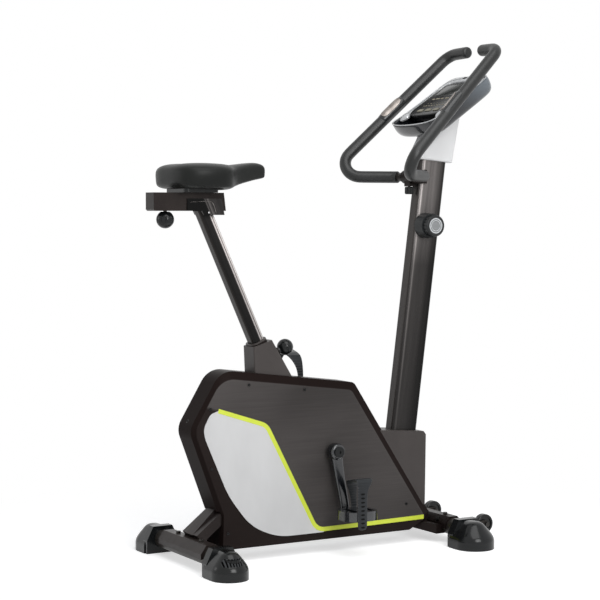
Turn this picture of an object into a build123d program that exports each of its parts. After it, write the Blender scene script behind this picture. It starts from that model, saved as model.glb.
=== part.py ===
"""Upright magnetic exercise bike, built the way it comes apart on a bench.

X runs forward, Y to the rider's left, Z up, and the floor is Z = 0. The origin is the centre
of the footprint of the whole machine. All sizes are millimetres.
"""
from build123d import *
import math
import os

os.makedirs("parts", exist_ok=True)

# ---- fits and stock ---------------------------------------------------------------------------
RUN_FIT = 0.05          # radial play of a shaft in its bearing
SLIDE_FIT = 0.4         # play between parts that slide in each other
FREE_GAP = 1.5          # air between a moving piece and a cover beside it
STEEL_WALL = 2.0        # wall of the steel tubes
PLASTIC_WALL = 3.0      # wall of the moulded casings

# ---- crank, pedals ----------------------------------------------------------------------------
CRANK_X = -5.0
CRANK_Z = 286.0
CRANK_ARM = 170.0       # axle to pedal spindle
CRANK_LEAN = 8.5        # degrees the right arm stands forward of straight down
CRANK_AXLE_R = 10.0
ARM_INNER_Y = 78.0
ARM_THICK = 16.0
ARM_WIDTH_TOP = 34.0
ARM_WIDTH_END = 26.0
HUB_INNER_Y = 60.0
CRANK_HUB_R = 24.0
CRANK_CAP_R = 15.0
CRANK_CAP_LENGTH = 5.0
SPINDLE_R = 6.0
SPINDLE_FLANGE_R = 11.0
SPINDLE_FLANGE = 4.0
PEDAL_GAP = 6.0
PEDAL_LENGTH = 104.0
PEDAL_WIDTH = 92.0
PEDAL_HEIGHT = 26.0
PEDAL_RAIL = 13.0
PEDAL_ROUND = 34.0
PEDAL_BARREL_R = 12.5
STRAP_THICK = 2.5
STRAP_WIDTH = 54.0
STRAP_RISE = 90.0
STRAP_SLOPE = 14.0      # how much higher the strap is at its outer side
STRAP_NECK = 70.0       # height above the spindle where the strap narrows
STRAP_LEG = 30.0        # width of the strap beside the pedal
STRAP_TAIL = 28.0

# ---- bottom bracket, flywheel and belt --------------------------------------------------------
BB_SHELL_R = 26.0
BB_HALF = 32.0
BEARING_WIDTH = 12.0
PULLEY_R = 130.0
PULLEY_INNER_Y = 35.0
PULLEY_WIDTH = 11.0
PULLEY_WEB = 4.0
PULLEY_HUB_R = 22.0
SMALL_PULLEY_R = 17.0
BELT_THICK = 3.0
BELT_WIDTH = 8.0
FLYWHEEL_X = -250.0
FLYWHEEL_Z = 226.0
FLYWHEEL_R = 112.0
FLYWHEEL_WIDTH = 16.0
FLYWHEEL_INNER_Y = 30.0
FLYWHEEL_WEB = 6.0
FLYWHEEL_RIM = 20.0
FLYWHEEL_HUB_R = 20.0
FLYWHEEL_AXLE_R = 7.5
FLYWHEEL_TUBE_R = 22.0
FLYWHEEL_TUBE_HALF = 27.0
MAGNET_GAP = 2.5
MAGNET_THICK = 5.0
BRAKE_ARM_THICK = 8.0
BRAKE_PIVOT_R = 5.0
BRAKE_SPAN = 84.0       # degrees of rim that the magnet arm covers
BRAKE_PIVOT_OUT = 19.0  # pivot centre outside the flywheel rim

# ---- frame ------------------------------------------------------------------------------------
RAIL_WIDTH = 40.0
RAIL_HEIGHT = 40.0
RAIL_Z = 62.0
REAR_BAR_X = -422.0
REAR_BAR_Z = 40.0
FRONT_BAR_X = 372.0
FRONT_BAR_Z = 46.0
STABILIZER_R = 25.0
REAR_BAR_HALF = 203.0
FRONT_BAR_HALF = 195.0
LEG_WIDTH = 40.0
LEG_FOOT_WIDTH = 88.0   # where it stands on the rear stabilizer
LEG_DEPTH = 28.0
REAR_PLATE = 7.0        # steel of the folded plates over the stabilizers
FRONT_PLATE = 4.0
REAR_PLATE_HALF = 130.0
FRONT_PLATE_HALF = 112.0
FRONT_WING_HALF = 92.0
REAR_CAP_HALF = 52.0
REAR_CAP_INNER_Y = 170.0
REAR_CAP_OUTER_Y = 282.0
REAR_CAP_HEIGHT = 74.0
FRONT_CAP_HALF = 58.0
FRONT_CAP_INNER_Y = 160.0
FRONT_CAP_OUTER_Y = 270.0
FRONT_CAP_HEIGHT = 77.0
COLLAR_WIDTH = 26.0
LEVELLER_R = 26.0
LEVELLER_HEIGHT = 10.0
LEVELLER_Y = 243.0
LEVELLER_Z = 46.0
LEVELLER_SCREW_R = 5.0
LEVELLER_PAD_R = 15.0
LEVELLER_PAD_Z = 2.0
WHEEL_R = 28.0
WHEEL_WIDTH = 22.0
WHEEL_X = 464.0
WHEEL_Z = 49.0
WHEEL_Y = 131.0
WHEEL_PIN_R = 5.0
EAR_THICK = 4.0
BOLT_R = 4.0
BOLT_LENGTH = 10.0
BOLT_HEAD_R = 7.0
BOLT_HEAD = 6.0

# ---- seat post, saddle ------------------------------------------------------------------------
SEAT_LEAN = 24.4
SEAT_TOP_X = -378.0
SEAT_TOP_Z = 953.0
SEAT_POST_W = 44.0
SEAT_POST_D = 38.0
SEAT_POST_ROUND = 12.0
SEAT_POST_LENGTH = 620.0
SEAT_TUBE_W = 56.0
SEAT_TUBE_D = 50.0
SEAT_TUBE_TOP = 392.0   # distance below the top of the post, along the post
SEAT_TUBE_LENGTH = 575.0
BUSHING_DEPTH = 60.0
SEAT_COVER_HALF = 32.0
SEAT_COVER_REAR = -236.0
SEAT_COVER_TOP_REAR = 584.0
SEAT_COVER_TOP_FRONT_X = -182.0
SEAT_COVER_TOP_FRONT_Z = 602.0
SEAT_COVER_FRONT = -112.0
SEAT_COVER_BASE = 488.0
HEIGHT_KNOB_DROP = 446.0
HEIGHT_KNOB_R = 23.0
HEIGHT_KNOB_OUT = 76.0
HEIGHT_COLLAR_R = 13.0
HEIGHT_COLLAR_LENGTH = 22.0
HEIGHT_PIN_R = 5.0
HEIGHT_HOLES = 9
HEIGHT_PITCH = 25.0
HEIGHT_PIN_CLEAR = 0.3  # the pin's tip rests this far off the post
SLIDER_REAR = -537.0
SLIDER_FRONT = -328.0
SLIDER_W = 50.0
SLIDER_BOTTOM = 957.0
SLIDER_TOP = 1006.0
SLIDER_TRAVEL = 60.0
HEAD_REAR = -440.0
HEAD_STEP = -396.0
HEAD_FRONT = -336.0
HEAD_BOTTOM = 946.0
HEAD_TOP = 990.0
HEAD_WALL = 3.0
RAIL_BAR_W = 34.0
RAIL_BAR_H = 30.0
RAIL_BAR_LENGTH = 78.0
SADDLE_KNOB_X = -492.0
SADDLE_KNOB_R = 24.0
SADDLE_PAN = 12.0
SADDLE_TOP = 1086.0
SADDLE_REAR_R = 95.0
SADDLE_REAR_X = -397.0
SADDLE_REAR_Y = 25.0
SADDLE_NOSE_R = 34.0
SADDLE_NOSE_X = -230.0
SADDLE_NOSE_FROM = -330.0
SADDLE_NOSE_LIFT = 36.0  # the nose's underside rises this much to its tip
SADDLE_PAN_X = -411.0
SADDLE_PAN_LENGTH = 102.0
SADDLE_PAN_HALF = 62.0
SADDLE_PAN_ROUND = 12.0
SADDLE_ROUND = 24.0

# ---- handlebar post, bar and console ----------------------------------------------------------
MAST_LEAN = 7.4
MAST_X = 300.0          # post centre line at MAST_Z
MAST_Z = 616.0
MAST_DEPTH = 86.0
MAST_WIDTH = 40.0
MAST_ROUND = 8.0
MAST_BOTTOM = -466.0    # along the post from MAST_Z
MAST_TOP = 505.0
FOOT_TOP = -250.0
BASE_COVER_HALF = 42.0
BASE_COVER_TOP = 329.0
BASE_COVER_FRONT = 320.0
BAR_R = 12.7
BAR_X = 296.0
BAR_Z = 1056.0
GRIP_R = 17.5
GRIP_START = 64.0
GRIP_END = 6.0          # foam beyond the end of the bar
BAR_STRAIGHT = 72.0
BAR_LOW_X = 126.0
BAR_LOW_Y = 197.0
BAR_HIGH_X = 515.0
BAR_HIGH_Y = 124.0
BAR_HIGH_Z = 1425.0
BAR_END_X = 519.0
BAR_END_Y = 36.0
BAR_END_Z = 1427.0
BAR_BEND_SMALL = 40.0
BAR_BEND_LOW = 46.0
BAR_BEND_HIGH = 40.0
CLAMP_HALF = 30.0
CLAMP_WALL = 7.0
CLAMP_KNOB_R = 13.0
CLAMP_KNOB_BACK = 7.0
CLAMP_KNOB_H = 22.0
PULSE_LENGTH = 76.0
PULSE_WIDTH = 22.0
PULSE_ALONG = 288.0     # from the bar's low corner up its rising run
PULSE_THICK = 2.0
TENSION_UP = 300.0      # along the post from MAST_Z
TENSION_BACK = 8.0      # rearward of the post's middle line
TENSION_BASE_R = 37.0
TENSION_BASE_TOP_R = 35.0
TENSION_BASE_H = 36.0
TENSION_DIAL_R = 31.0
TENSION_DIAL_H = 20.0
TOP_COVER_HALF = 31.0
TOP_COVER_REAR = 3.0    # forward of the bar, and the other corners of its side likewise
TOP_COVER_LIFT = 52.0   # above the bar
TOP_COVER_FRONT = 124.0
TOP_COVER_FRONT_LIFT = 41.0
TOP_COVER_KNEE = 150.0
TOP_COVER_KNEE_LIFT = 170.0
CONSOLE_X = 401.0
CONSOLE_Z = 1274.0
CONSOLE_TILT = 35.0
CONSOLE_DEPTH = 42.0    # of the bowl at its upper end
CONSOLE_LOW_DEPTH = 31.0
CONSOLE_LOW = -138.0
CONSOLE_TIP = -121.0
CONSOLE_HIGH = 132.0
CONSOLE_HALF_LOW = 113.0
CONSOLE_HALF_HIGH = 98.0
BEZEL_THICK = 5.0
DISPLAY_LOW = -76.0
DISPLAY_HIGH = 98.0
DISPLAY_RISE = 7.0
HOOD_RISE = 17.0        # silver hood over the display's upper edge
HOOD_HALF = 84.0
DISPLAY_HALF_LOW = 96.0
DISPLAY_HALF_HIGH = 84.0
KEY_W = 26.0
KEY_D = 12.0
KEY_TRAVEL = 1.2
KEY_PITCH = 40.0
KEY_PROUD = 2.0
KEY_POCKET = 4.0

# ---- casing -----------------------------------------------------------------------------------
CASE_HALF = 54.0        # centre plane to the flat side face
CASE_RIM_HALF = 38.0    # centre plane to the start of the bevel
CASE_TOP_BEVEL = 24.0
CASE_REAR_BEVEL = 9.0
CASE_FRONT_BEVEL = 28.0
PANEL_THICK = 1.6
STRIPE_WIDTH = 12.0
SCREW_R = 4.0
JACK_R = 5.5
CASE_CORNERS = [        # flat side face, corner by corner: X, Z, rounding
    (59.0, 451.0, 22.0),
    (-349.0, 503.0, 62.0),
    (-432.0, 366.0, 50.0),
    (-345.0, 134.0, 8.0),
    (-348.0, 37.0, 6.0),
    (258.0, 37.0, 12.0),
    (312.0, 66.0, 9.0),
]
# how far each edge of the rim stands outside the side face, edge i runs from corner i to i + 1
CASE_BEVELS = [CASE_TOP_BEVEL, CASE_REAR_BEVEL, CASE_REAR_BEVEL, 4.0, 0.5, 0.5, CASE_FRONT_BEVEL]


# ---- helpers ----------------------------------------------------------------------------------
def cylinder_y(radius, y_from, y_to, x, z):
    """Round bar along Y."""
    return Pos(x, (y_from + y_to) / 2, z) * Rot(90, 0, 0) * Cylinder(radius, abs(y_to - y_from))


def ring_y(outer, inner, y_from, y_to, x, z):
    """Round sleeve along Y."""
    return cylinder_y(outer, y_from, y_to, x, z) - cylinder_y(inner, y_from, y_to, x, z)


def box(x_from, x_to, y_from, y_to, z_from, z_to):
    """Box by its limits."""
    size = (x_to - x_from, y_to - y_from, z_to - z_from)
    middle = ((x_from + x_to) / 2, (y_from + y_to) / 2, (z_from + z_to) / 2)
    return Pos(*middle) * Box(*size)


def prism_y(corners, y_from, y_to):
    """Plate whose outline lies in XZ and whose thickness runs along Y."""
    outline = Polyline(*[(x, y_from, z) for x, z in corners], close=True)
    return extrude(make_face(outline), amount=y_to - y_from, dir=(0, 1, 0))


def rounded_bar(width_x, width_y, length, rounding):
    """Rounded rectangular bar standing on its own origin, along Z."""
    return extrude(RectangleRounded(width_x, width_y, rounding), amount=length)


def rounded_tube(width_x, width_y, length, rounding, wall):
    """Rounded rectangular tube standing on its own origin, along Z."""
    inner = rounded_bar(width_x - 2 * wall, width_y - 2 * wall, length, max(rounding - wall, 1.0))
    return rounded_bar(width_x, width_y, length, rounding) - inner


def beam(start, end, width_y, depth):
    """Straight rectangular bar in the XZ plane between two points."""
    run_x = end[0] - start[0]
    run_z = end[1] - start[1]
    length = math.hypot(run_x, run_z)
    pitch = math.degrees(math.atan2(run_x, run_z))
    bar = Pos(0, 0, length / 2) * Box(depth, width_y, length)
    return Pos(start[0], 0, start[1]) * Rot(0, pitch, 0) * bar


def mirrored(shape):
    """The same piece on the rider's left."""
    return mirror(shape, about=Plane.XZ)


def edge_offset(corners, distances):
    """Move every edge of a closed outline outwards by its own distance, corners following."""
    count = len(corners)
    area = sum(corners[i][0] * corners[(i + 1) % count][1]
               - corners[(i + 1) % count][0] * corners[i][1] for i in range(count))
    turn = 1.0 if area > 0 else -1.0
    lines = []
    for i in range(count):
        x0, z0 = corners[i]
        x1, z1 = corners[(i + 1) % count]
        length = math.hypot(x1 - x0, z1 - z0)
        normal = (turn * (z1 - z0) / length, -turn * (x1 - x0) / length)
        reach = normal[0] * x0 + normal[1] * z0 + distances[i]
        lines.append((normal, reach))
    moved = []
    for i in range(count):
        (a, b), c = lines[i - 1]
        (d, e), f = lines[i]
        scale = a * e - b * d
        moved.append(((c * e - b * f) / scale, (a * f - c * d) / scale))
    return moved


def on_mast(along, across=0.0):
    """X and Z of a point of the handlebar post, along it from MAST_Z and across it forwards."""
    lean = math.radians(MAST_LEAN)
    x = MAST_X + along * math.sin(lean) + across * math.cos(lean)
    z = MAST_Z + along * math.cos(lean) - across * math.sin(lean)
    return x, z


def on_seat(down, out=0.0):
    """X and Z of a point of the seat post, down it from its top and out forwards."""
    lean = math.radians(SEAT_LEAN)
    x = SEAT_TOP_X + down * math.sin(lean) + out * math.cos(lean)
    z = SEAT_TOP_Z - down * math.cos(lean) + out * math.sin(lean)
    return x, z


def on_console(up, out=0.0):
    """X and Z of a point of the console, up its face and out of it."""
    tilt = math.radians(CONSOLE_TILT)
    x = CONSOLE_X + up * math.cos(tilt) - out * math.sin(tilt)
    z = CONSOLE_Z + up * math.sin(tilt) + out * math.cos(tilt)
    return x, z


MAST_FRAME = Pos(MAST_X, 0, MAST_Z) * Rot(0, MAST_LEAN, 0)
SEAT_FRAME = Pos(SEAT_TOP_X, 0, SEAT_TOP_Z) * Rot(0, -SEAT_LEAN, 0)
CONSOLE_FRAME = Pos(CONSOLE_X, 0, CONSOLE_Z) * Rot(0, -CONSOLE_TILT, 0)
CASE_RIM = edge_offset([(x, z) for x, z, _ in CASE_CORNERS], CASE_BEVELS)
CASE_ROUNDS = [rounding for _, _, rounding in CASE_CORNERS]


# ---- frame ------------------------------------------------------------------------------------
def seat_line_x(z):
    """X of the seat post's centre line at a height."""
    return SEAT_TOP_X + (SEAT_TOP_Z - z) * math.tan(math.radians(SEAT_LEAN))


def foot_size():
    """Section of the welded foot that the handlebar post slips over."""
    return (MAST_DEPTH - 2 * STEEL_WALL - 2 * SLIDE_FIT, MAST_WIDTH - 2 * STEEL_WALL - 2 * SLIDE_FIT)


def cable_window():
    """Window in the rear walls of the post and its foot, for the cable."""
    x, z = on_mast(CABLE_EXIT - 42, -MAST_DEPTH / 2)
    return Pos(x, 0, z) * Box(40, 16, 30)


def make_base_rail():
    """Rail along the floor with the front stabilizer's saddle and the foot of the post."""
    rail = box(-20, FRONT_BAR_X - STABILIZER_R, -RAIL_WIDTH / 2, RAIL_WIDTH / 2,
               RAIL_Z - RAIL_HEIGHT / 2, RAIL_Z + RAIL_HEIGHT / 2)
    depth, width = foot_size()
    rail_top = RAIL_Z + RAIL_HEIGHT / 2
    start = (rail_top - MAST_Z) / math.cos(math.radians(MAST_LEAN)) - 4
    foot = rounded_tube(depth, width, FOOT_TOP - start, MAST_ROUND - STEEL_WALL, STEEL_WALL + 1)
    foot = MAST_FRAME * Pos(0, 0, start) * foot
    foot -= cable_window()
    plate = folded_plate(FRONT_BAR_X, FRONT_BAR_Z, FRONT_PLATE, FRONT_PLATE_HALF)
    bore = cylinder_y(STABILIZER_R, -FRONT_PLATE_HALF, FRONT_PLATE_HALF, FRONT_BAR_X, FRONT_BAR_Z)
    return rail + foot + plate + front_wing() - bore - bolt_holes()


def folded_plate(bar_x, bar_z, thick, half_y):
    """Folded steel plate over the upper side of a stabilizer, still without the tube's room."""
    out = STABILIZER_R + thick
    section = [(-out, -4), (-out, out * 0.3), (-out * 0.5, out), (out * 0.45, out), (out, out * 0.4), (out, 0)]
    return prism_y([(bar_x + x, bar_z + z) for x, z in section], -half_y, half_y)


def fold_angle():
    """Degrees that the plates' rear facet leans back from level."""
    return math.degrees(math.atan2(0.7, 0.5))


def front_wing():
    """Gusset that spreads from the rail to the front stabilizer."""
    x = FRONT_BAR_X
    side = [(x - 24, 50), (x - 66, 56), (x - 88, 46), (x - 88, 38), (x - 46, 25), (x - 16, 25)]
    plan = Polyline((x - 88, -22), (x - 46, -FRONT_WING_HALF), (x, -FRONT_WING_HALF),
                    (x, FRONT_WING_HALF), (x - 46, FRONT_WING_HALF), (x - 88, 22), close=True)
    return prism_y(side, -FRONT_WING_HALF, FRONT_WING_HALF) & extrude(make_face(plan), amount=100)


def make_seat_tube():
    """Leaning seat tube with the bottom bracket shell and the flywheel's bearing tube."""
    tube = SEAT_FRAME * Pos(0, 0, -SEAT_TUBE_TOP - SEAT_TUBE_LENGTH) * rounded_tube(
        SEAT_TUBE_D, SEAT_TUBE_W, SEAT_TUBE_LENGTH, SEAT_POST_ROUND + 4, STEEL_WALL)
    tube &= box(-600, 200, -60, 60, RAIL_Z + RAIL_HEIGHT / 2, 700)
    shell = cylinder_y(BB_SHELL_R, -BB_HALF, BB_HALF, CRANK_X, CRANK_Z)
    near_crank = (seat_line_x(CRANK_Z) + SEAT_TUBE_D / 2 - 3, CRANK_Z)
    strut = beam(near_crank, (CRANK_X, CRANK_Z), 34, 34)
    stay_end = (seat_line_x(FLYWHEEL_Z) - SEAT_TUBE_D / 2 + 3, FLYWHEEL_Z + 6)
    stay = beam((FLYWHEEL_X, FLYWHEEL_Z), stay_end, RAIL_WIDTH, RAIL_HEIGHT)
    flywheel_tube = cylinder_y(FLYWHEEL_TUBE_R, -FLYWHEEL_TUBE_HALF, FLYWHEEL_TUBE_HALF,
                               FLYWHEEL_X, FLYWHEEL_Z)
    pivot_x, pivot_z = brake_pivot()
    pivot = cylinder_y(BRAKE_PIVOT_R, -FLYWHEEL_INNER_Y - FLYWHEEL_WIDTH, -RAIL_WIDTH / 2 + 2,
                       pivot_x, pivot_z)
    body = shell + strut + stay + flywheel_tube + pivot
    body -= cylinder_y(BB_SHELL_R - 4, -BB_HALF, BB_HALF, CRANK_X, CRANK_Z)
    body -= cylinder_y(FLYWHEEL_TUBE_R - 4, -FLYWHEEL_TUBE_HALF, FLYWHEEL_TUBE_HALF,
                       FLYWHEEL_X, FLYWHEEL_Z)
    stop_x, stop_y, stop_z = cable_end()
    stop = box(stop_x - 4, stop_x + 6, stop_y - 5, -RAIL_WIDTH / 2 + 2, stop_z - 8, FLYWHEEL_Z - 8)
    body += stop - sweep_cable(CABLE_R + 0.2)
    bore = rounded_bar(SEAT_TUBE_D - 2 * STEEL_WALL, SEAT_TUBE_W - 2 * STEEL_WALL, SEAT_TUBE_LENGTH,
                       SEAT_POST_ROUND + 4 - STEEL_WALL)
    body -= SEAT_FRAME * Pos(0, 0, -SEAT_TUBE_TOP - SEAT_TUBE_LENGTH) * bore
    return tube - height_pin_bore() + body + height_collar()


def make_rear_leg():
    """Leg from the flywheel tube down to the rear stabilizer, with its bolted saddle plate."""
    foot = leg_foot()
    leg = beam(foot, (FLYWHEEL_X - 16, FLYWHEEL_Z - 14), LEG_WIDTH, LEG_DEPTH)
    spread = beam(foot, (foot[0] + 80, foot[1] + 62), LEG_FOOT_WIDTH, LEG_DEPTH)
    leg += spread + folded_plate(REAR_BAR_X, REAR_BAR_Z, REAR_PLATE, REAR_PLATE_HALF)
    leg -= cylinder_y(STABILIZER_R, -REAR_PLATE_HALF, REAR_PLATE_HALF, REAR_BAR_X, REAR_BAR_Z)
    return leg - cylinder_y(FLYWHEEL_TUBE_R, -60, 60, FLYWHEEL_X, FLYWHEEL_Z) - bolt_holes()


def leg_foot():
    """X and Z where the rear leg's centre line meets the rear stabilizer's plate."""
    return REAR_BAR_X + 8, REAR_BAR_Z + STABILIZER_R + 6


def make_rear_stabilizer():
    """Cross tube under the seat."""
    bar = ring_y(STABILIZER_R, STABILIZER_R - STEEL_WALL, -REAR_BAR_HALF, REAR_BAR_HALF,
                 REAR_BAR_X, REAR_BAR_Z)
    return bar - bolt_holes()


def wheel_ear(y_inner):
    """One plate that carries a transport wheel."""
    corners = [(FRONT_BAR_X + STABILIZER_R - 3, FRONT_BAR_Z + 14), (WHEEL_X, WHEEL_Z + 12),
               (WHEEL_X + 10, WHEEL_Z), (WHEEL_X, WHEEL_Z - 12),
               (FRONT_BAR_X + STABILIZER_R - 3, FRONT_BAR_Z - 14)]
    return prism_y(corners, y_inner, y_inner + EAR_THICK)


def make_front_stabilizer():
    """Cross tube under the handlebar, with an ear each side of both transport wheels."""
    bar = cylinder_y(STABILIZER_R, -FRONT_BAR_HALF, FRONT_BAR_HALF, FRONT_BAR_X, FRONT_BAR_Z)
    gap = WHEEL_WIDTH / 2 + FREE_GAP
    for side in (-1, 1):
        bar += wheel_ear(side * WHEEL_Y + gap) + wheel_ear(side * WHEEL_Y - gap - EAR_THICK)
    for side in (-1, 1):
        bar -= cylinder_y(WHEEL_PIN_R, side * WHEEL_Y - 30, side * WHEEL_Y + 30, WHEEL_X, WHEEL_Z)
    bar -= cylinder_y(STABILIZER_R - STEEL_WALL, -FRONT_BAR_HALF, FRONT_BAR_HALF,
                      FRONT_BAR_X, FRONT_BAR_Z)
    return bar - bolt_holes()


def bolt_places():
    """Places of the frame bolts, each with its shank along its own -Z."""
    places = []
    for y in (-70, 70):
        places.append(Pos(REAR_BAR_X, y, REAR_BAR_Z + STABILIZER_R + REAR_PLATE))
        places.append(Pos(FRONT_BAR_X, y, FRONT_BAR_Z + STABILIZER_R + FRONT_PLATE))
        reach = (STABILIZER_R + FRONT_PLATE) * 0.99
        places.append(Pos(FRONT_BAR_X, y, FRONT_BAR_Z) * Rot(0, -fold_angle(), 0) * Pos(0, 0, reach))
    for along in (FOOT_TOP - 60, FOOT_TOP - 20):
        x, z = on_mast(along, MAST_DEPTH / 2)
        places.append(Pos(x, 0, z) * Rot(0, 90 + MAST_LEAN, 0))
    return places


def bolt_holes():
    """Clearance holes for the frame bolts."""
    holes = [place * Cylinder(BOLT_R + RUN_FIT, 2 * BOLT_LENGTH + 4) for place in bolt_places()]
    return Compound(children=holes)


def make_frame_bolts():
    """Bolts that hold both stabilizers and the post, and the pins of the transport wheels."""
    head = extrude(RegularPolygon(BOLT_HEAD_R, 6), amount=BOLT_HEAD)
    bolt = head + Pos(0, 0, -BOLT_LENGTH / 2) * Cylinder(BOLT_R, BOLT_LENGTH)
    pieces = [place * bolt for place in bolt_places()]
    pin_half = WHEEL_WIDTH / 2 + FREE_GAP + EAR_THICK
    for side in (-1, 1):
        pin = cylinder_y(WHEEL_PIN_R, side * WHEEL_Y - pin_half, side * WHEEL_Y + pin_half,
                         WHEEL_X, WHEEL_Z)
        pin_head = cylinder_y(BOLT_HEAD_R, side * WHEEL_Y - pin_half - BOLT_HEAD,
                              side * WHEEL_Y - pin_half, WHEEL_X, WHEEL_Z)
        pieces.append(pin + pin_head)
    return pieces


def cap_section(half_x, height):
    """Half section of an end cap from its axis outwards: an upright skirt, then a curved top."""
    skirt = height * 0.26
    rim = Polyline((0, 0), (half_x, 0), (half_x, skirt))
    top = Spline((half_x, skirt), (half_x * 0.86, height * 0.55), (half_x * 0.58, height * 0.8), (0, height),
                 tangents=[(0, 1), (-1, 0)])
    return make_face(rim + top + Line((0, height), (0, 0)))


def end_cap(half_x, height, inner_y, outer_y, bar_x, bar_z, bar_half):
    """Moulded end cap on the rider's right: a faceted collar, then a dome with a round end."""
    section = Plane.XZ * cap_section(half_x, height)
    axis_y = outer_y - half_x
    dome = Pos(bar_x, -axis_y, 0) * revolve(section, Axis.Z)
    hood = extrude(section + mirror(section, about=Plane.YZ), amount=axis_y - inner_y - COLLAR_WIDTH / 2,
                   dir=(0, 1, 0))
    wide = half_x * 0.94
    corners = [(-wide, 0), (wide, 0), (wide, height * 0.5), (wide * 0.6, height + 2), (-wide * 0.6, height + 2),
               (-wide, height * 0.5)]
    collar = prism_y([(bar_x + x, z) for x, z in corners], -inner_y - COLLAR_WIDTH, -inner_y)
    cap = dome + Pos(bar_x, -axis_y, 0) * hood + collar
    cap &= box(bar_x - half_x, bar_x + half_x, -outer_y, -inner_y, 0, height + 2)
    return cap - cylinder_y(STABILIZER_R, -bar_half, 0, bar_x, bar_z)


def make_rear_cap():
    """Rear cap with the pocket of its levelling wheel, which stands out through the dome."""
    cap = end_cap(REAR_CAP_HALF, REAR_CAP_HEIGHT, REAR_CAP_INNER_Y, REAR_CAP_OUTER_Y,
                  REAR_BAR_X, REAR_BAR_Z, REAR_BAR_HALF)
    pocket = Pos(0, 0, LEVELLER_HEIGHT / 2) * Cylinder(LEVELLER_R + FREE_GAP / 2, LEVELLER_HEIGHT + 2 * SLIDE_FIT)
    pad_room = Pos(0, 0, -LEVELLER_Z + 6) * Cylinder(LEVELLER_PAD_R + FREE_GAP, 16)
    screw_hole = Pos(0, 0, -LEVELLER_Z / 2) * Cylinder(LEVELLER_SCREW_R + RUN_FIT, LEVELLER_Z + 4)
    for room in (pocket, pad_room, screw_hole):
        cap -= Pos(REAR_BAR_X, -LEVELLER_Y, LEVELLER_Z) * room
    return cap


def make_leveller():
    """Ribbed levelling wheel with its screw and foot pad."""
    wheel = Pos(0, 0, LEVELLER_HEIGHT / 2) * Cylinder(LEVELLER_R, LEVELLER_HEIGHT)
    ribs = 24
    for i in range(ribs):
        angle = 2 * math.pi * i / ribs
        wheel -= Pos(LEVELLER_R * math.cos(angle), LEVELLER_R * math.sin(angle), LEVELLER_HEIGHT / 2) * Cylinder(
            1.8, LEVELLER_HEIGHT)
    screw = Pos(0, 0, (LEVELLER_PAD_Z - LEVELLER_Z) / 2) * Cylinder(LEVELLER_SCREW_R, LEVELLER_Z - LEVELLER_PAD_Z)
    pad = Pos(0, 0, LEVELLER_PAD_Z - LEVELLER_Z + 3) * Cylinder(LEVELLER_PAD_R, 6)
    return Pos(REAR_BAR_X, -LEVELLER_Y, LEVELLER_Z) * (wheel + screw + pad)


def make_front_cap():
    """Front cap."""
    return end_cap(FRONT_CAP_HALF, FRONT_CAP_HEIGHT, FRONT_CAP_INNER_Y, FRONT_CAP_OUTER_Y,
                   FRONT_BAR_X, FRONT_BAR_Z, FRONT_BAR_HALF)


def make_wheel(side):
    """Transport wheel on the front stabilizer."""
    y = side * WHEEL_Y
    half = WHEEL_WIDTH / 2
    wheel = cylinder_y(WHEEL_R, y - half, y + half, WHEEL_X, WHEEL_Z)
    wheel = fillet(wheel.edges().filter_by(GeomType.CIRCLE), 4)
    groove = ring_y(WHEEL_R - 8, WHEEL_R - 16, y + half - 3, y + half, WHEEL_X, WHEEL_Z)
    groove += ring_y(WHEEL_R - 8, WHEEL_R - 16, y - half, y - half + 3, WHEEL_X, WHEEL_Z)
    return wheel - groove - cylinder_y(WHEEL_PIN_R + RUN_FIT, y - half, y + half, WHEEL_X, WHEEL_Z)


# ---- crank and pedals -------------------------------------------------------------------------
def crank_turn(side):
    """Degrees that a crank arm is turned from straight down; side -1 is the rider's right."""
    return -CRANK_LEAN if side < 0 else 180 - CRANK_LEAN


def pedal_centre(side):
    """X and Z of a pedal spindle."""
    angle = math.radians(crank_turn(side))
    return CRANK_X - CRANK_ARM * math.sin(angle), CRANK_Z - CRANK_ARM * math.cos(angle)


def make_crank_axle():
    """Steel axle through the bottom bracket, with a collar inside the pulley."""
    return cylinder_y(CRANK_AXLE_R, -ARM_INNER_Y - ARM_THICK, ARM_INNER_Y + ARM_THICK, CRANK_X, CRANK_Z)


def make_bearings():
    """Two ball bearings of the bottom bracket and two of the flywheel."""
    pieces = []
    for side in (-1, 1):
        edge = side * BB_HALF
        pieces.append(ring_y(BB_SHELL_R - 4, CRANK_AXLE_R + RUN_FIT, min(edge, edge - side * BEARING_WIDTH),
                             max(edge, edge - side * BEARING_WIDTH), CRANK_X, CRANK_Z))
        edge = side * FLYWHEEL_TUBE_HALF
        pieces.append(ring_y(FLYWHEEL_TUBE_R - 4, FLYWHEEL_AXLE_R + RUN_FIT,
                             min(edge, edge - side * BEARING_WIDTH),
                             max(edge, edge - side * BEARING_WIDTH), FLYWHEEL_X, FLYWHEEL_Z))
    return pieces


def make_crank_arm(side):
    """Tapered steel arm with a hub for the axle and an eye for the pedal spindle."""
    top_y = ARM_INNER_Y + ARM_THICK
    arm_top = Pos(0, 0, 0) * Circle(ARM_WIDTH_TOP / 2)
    arm_end = Pos(0, -CRANK_ARM, 0) * Circle(ARM_WIDTH_END / 2)
    outline = make_face(make_hull((arm_top + arm_end).edges()))
    blade = extrude(outline, amount=ARM_THICK)
    blade = Rot(90, 0, 0) * blade
    blade = Pos(0, -ARM_INNER_Y, 0) * blade
    hub = cylinder_y(CRANK_HUB_R, -top_y, -HUB_INNER_Y, 0, 0)
    arm = blade + hub
    arm -= cylinder_y(CRANK_AXLE_R, -top_y - 1, -HUB_INNER_Y + 1, 0, 0)
    arm -= cylinder_y(SPINDLE_R, -top_y - 1, -ARM_INNER_Y + 1, 0, -CRANK_ARM)
    if side > 0:
        arm = mirrored(arm)
    return Pos(CRANK_X, 0, CRANK_Z) * Rot(0, crank_turn(side), 0) * arm


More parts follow.
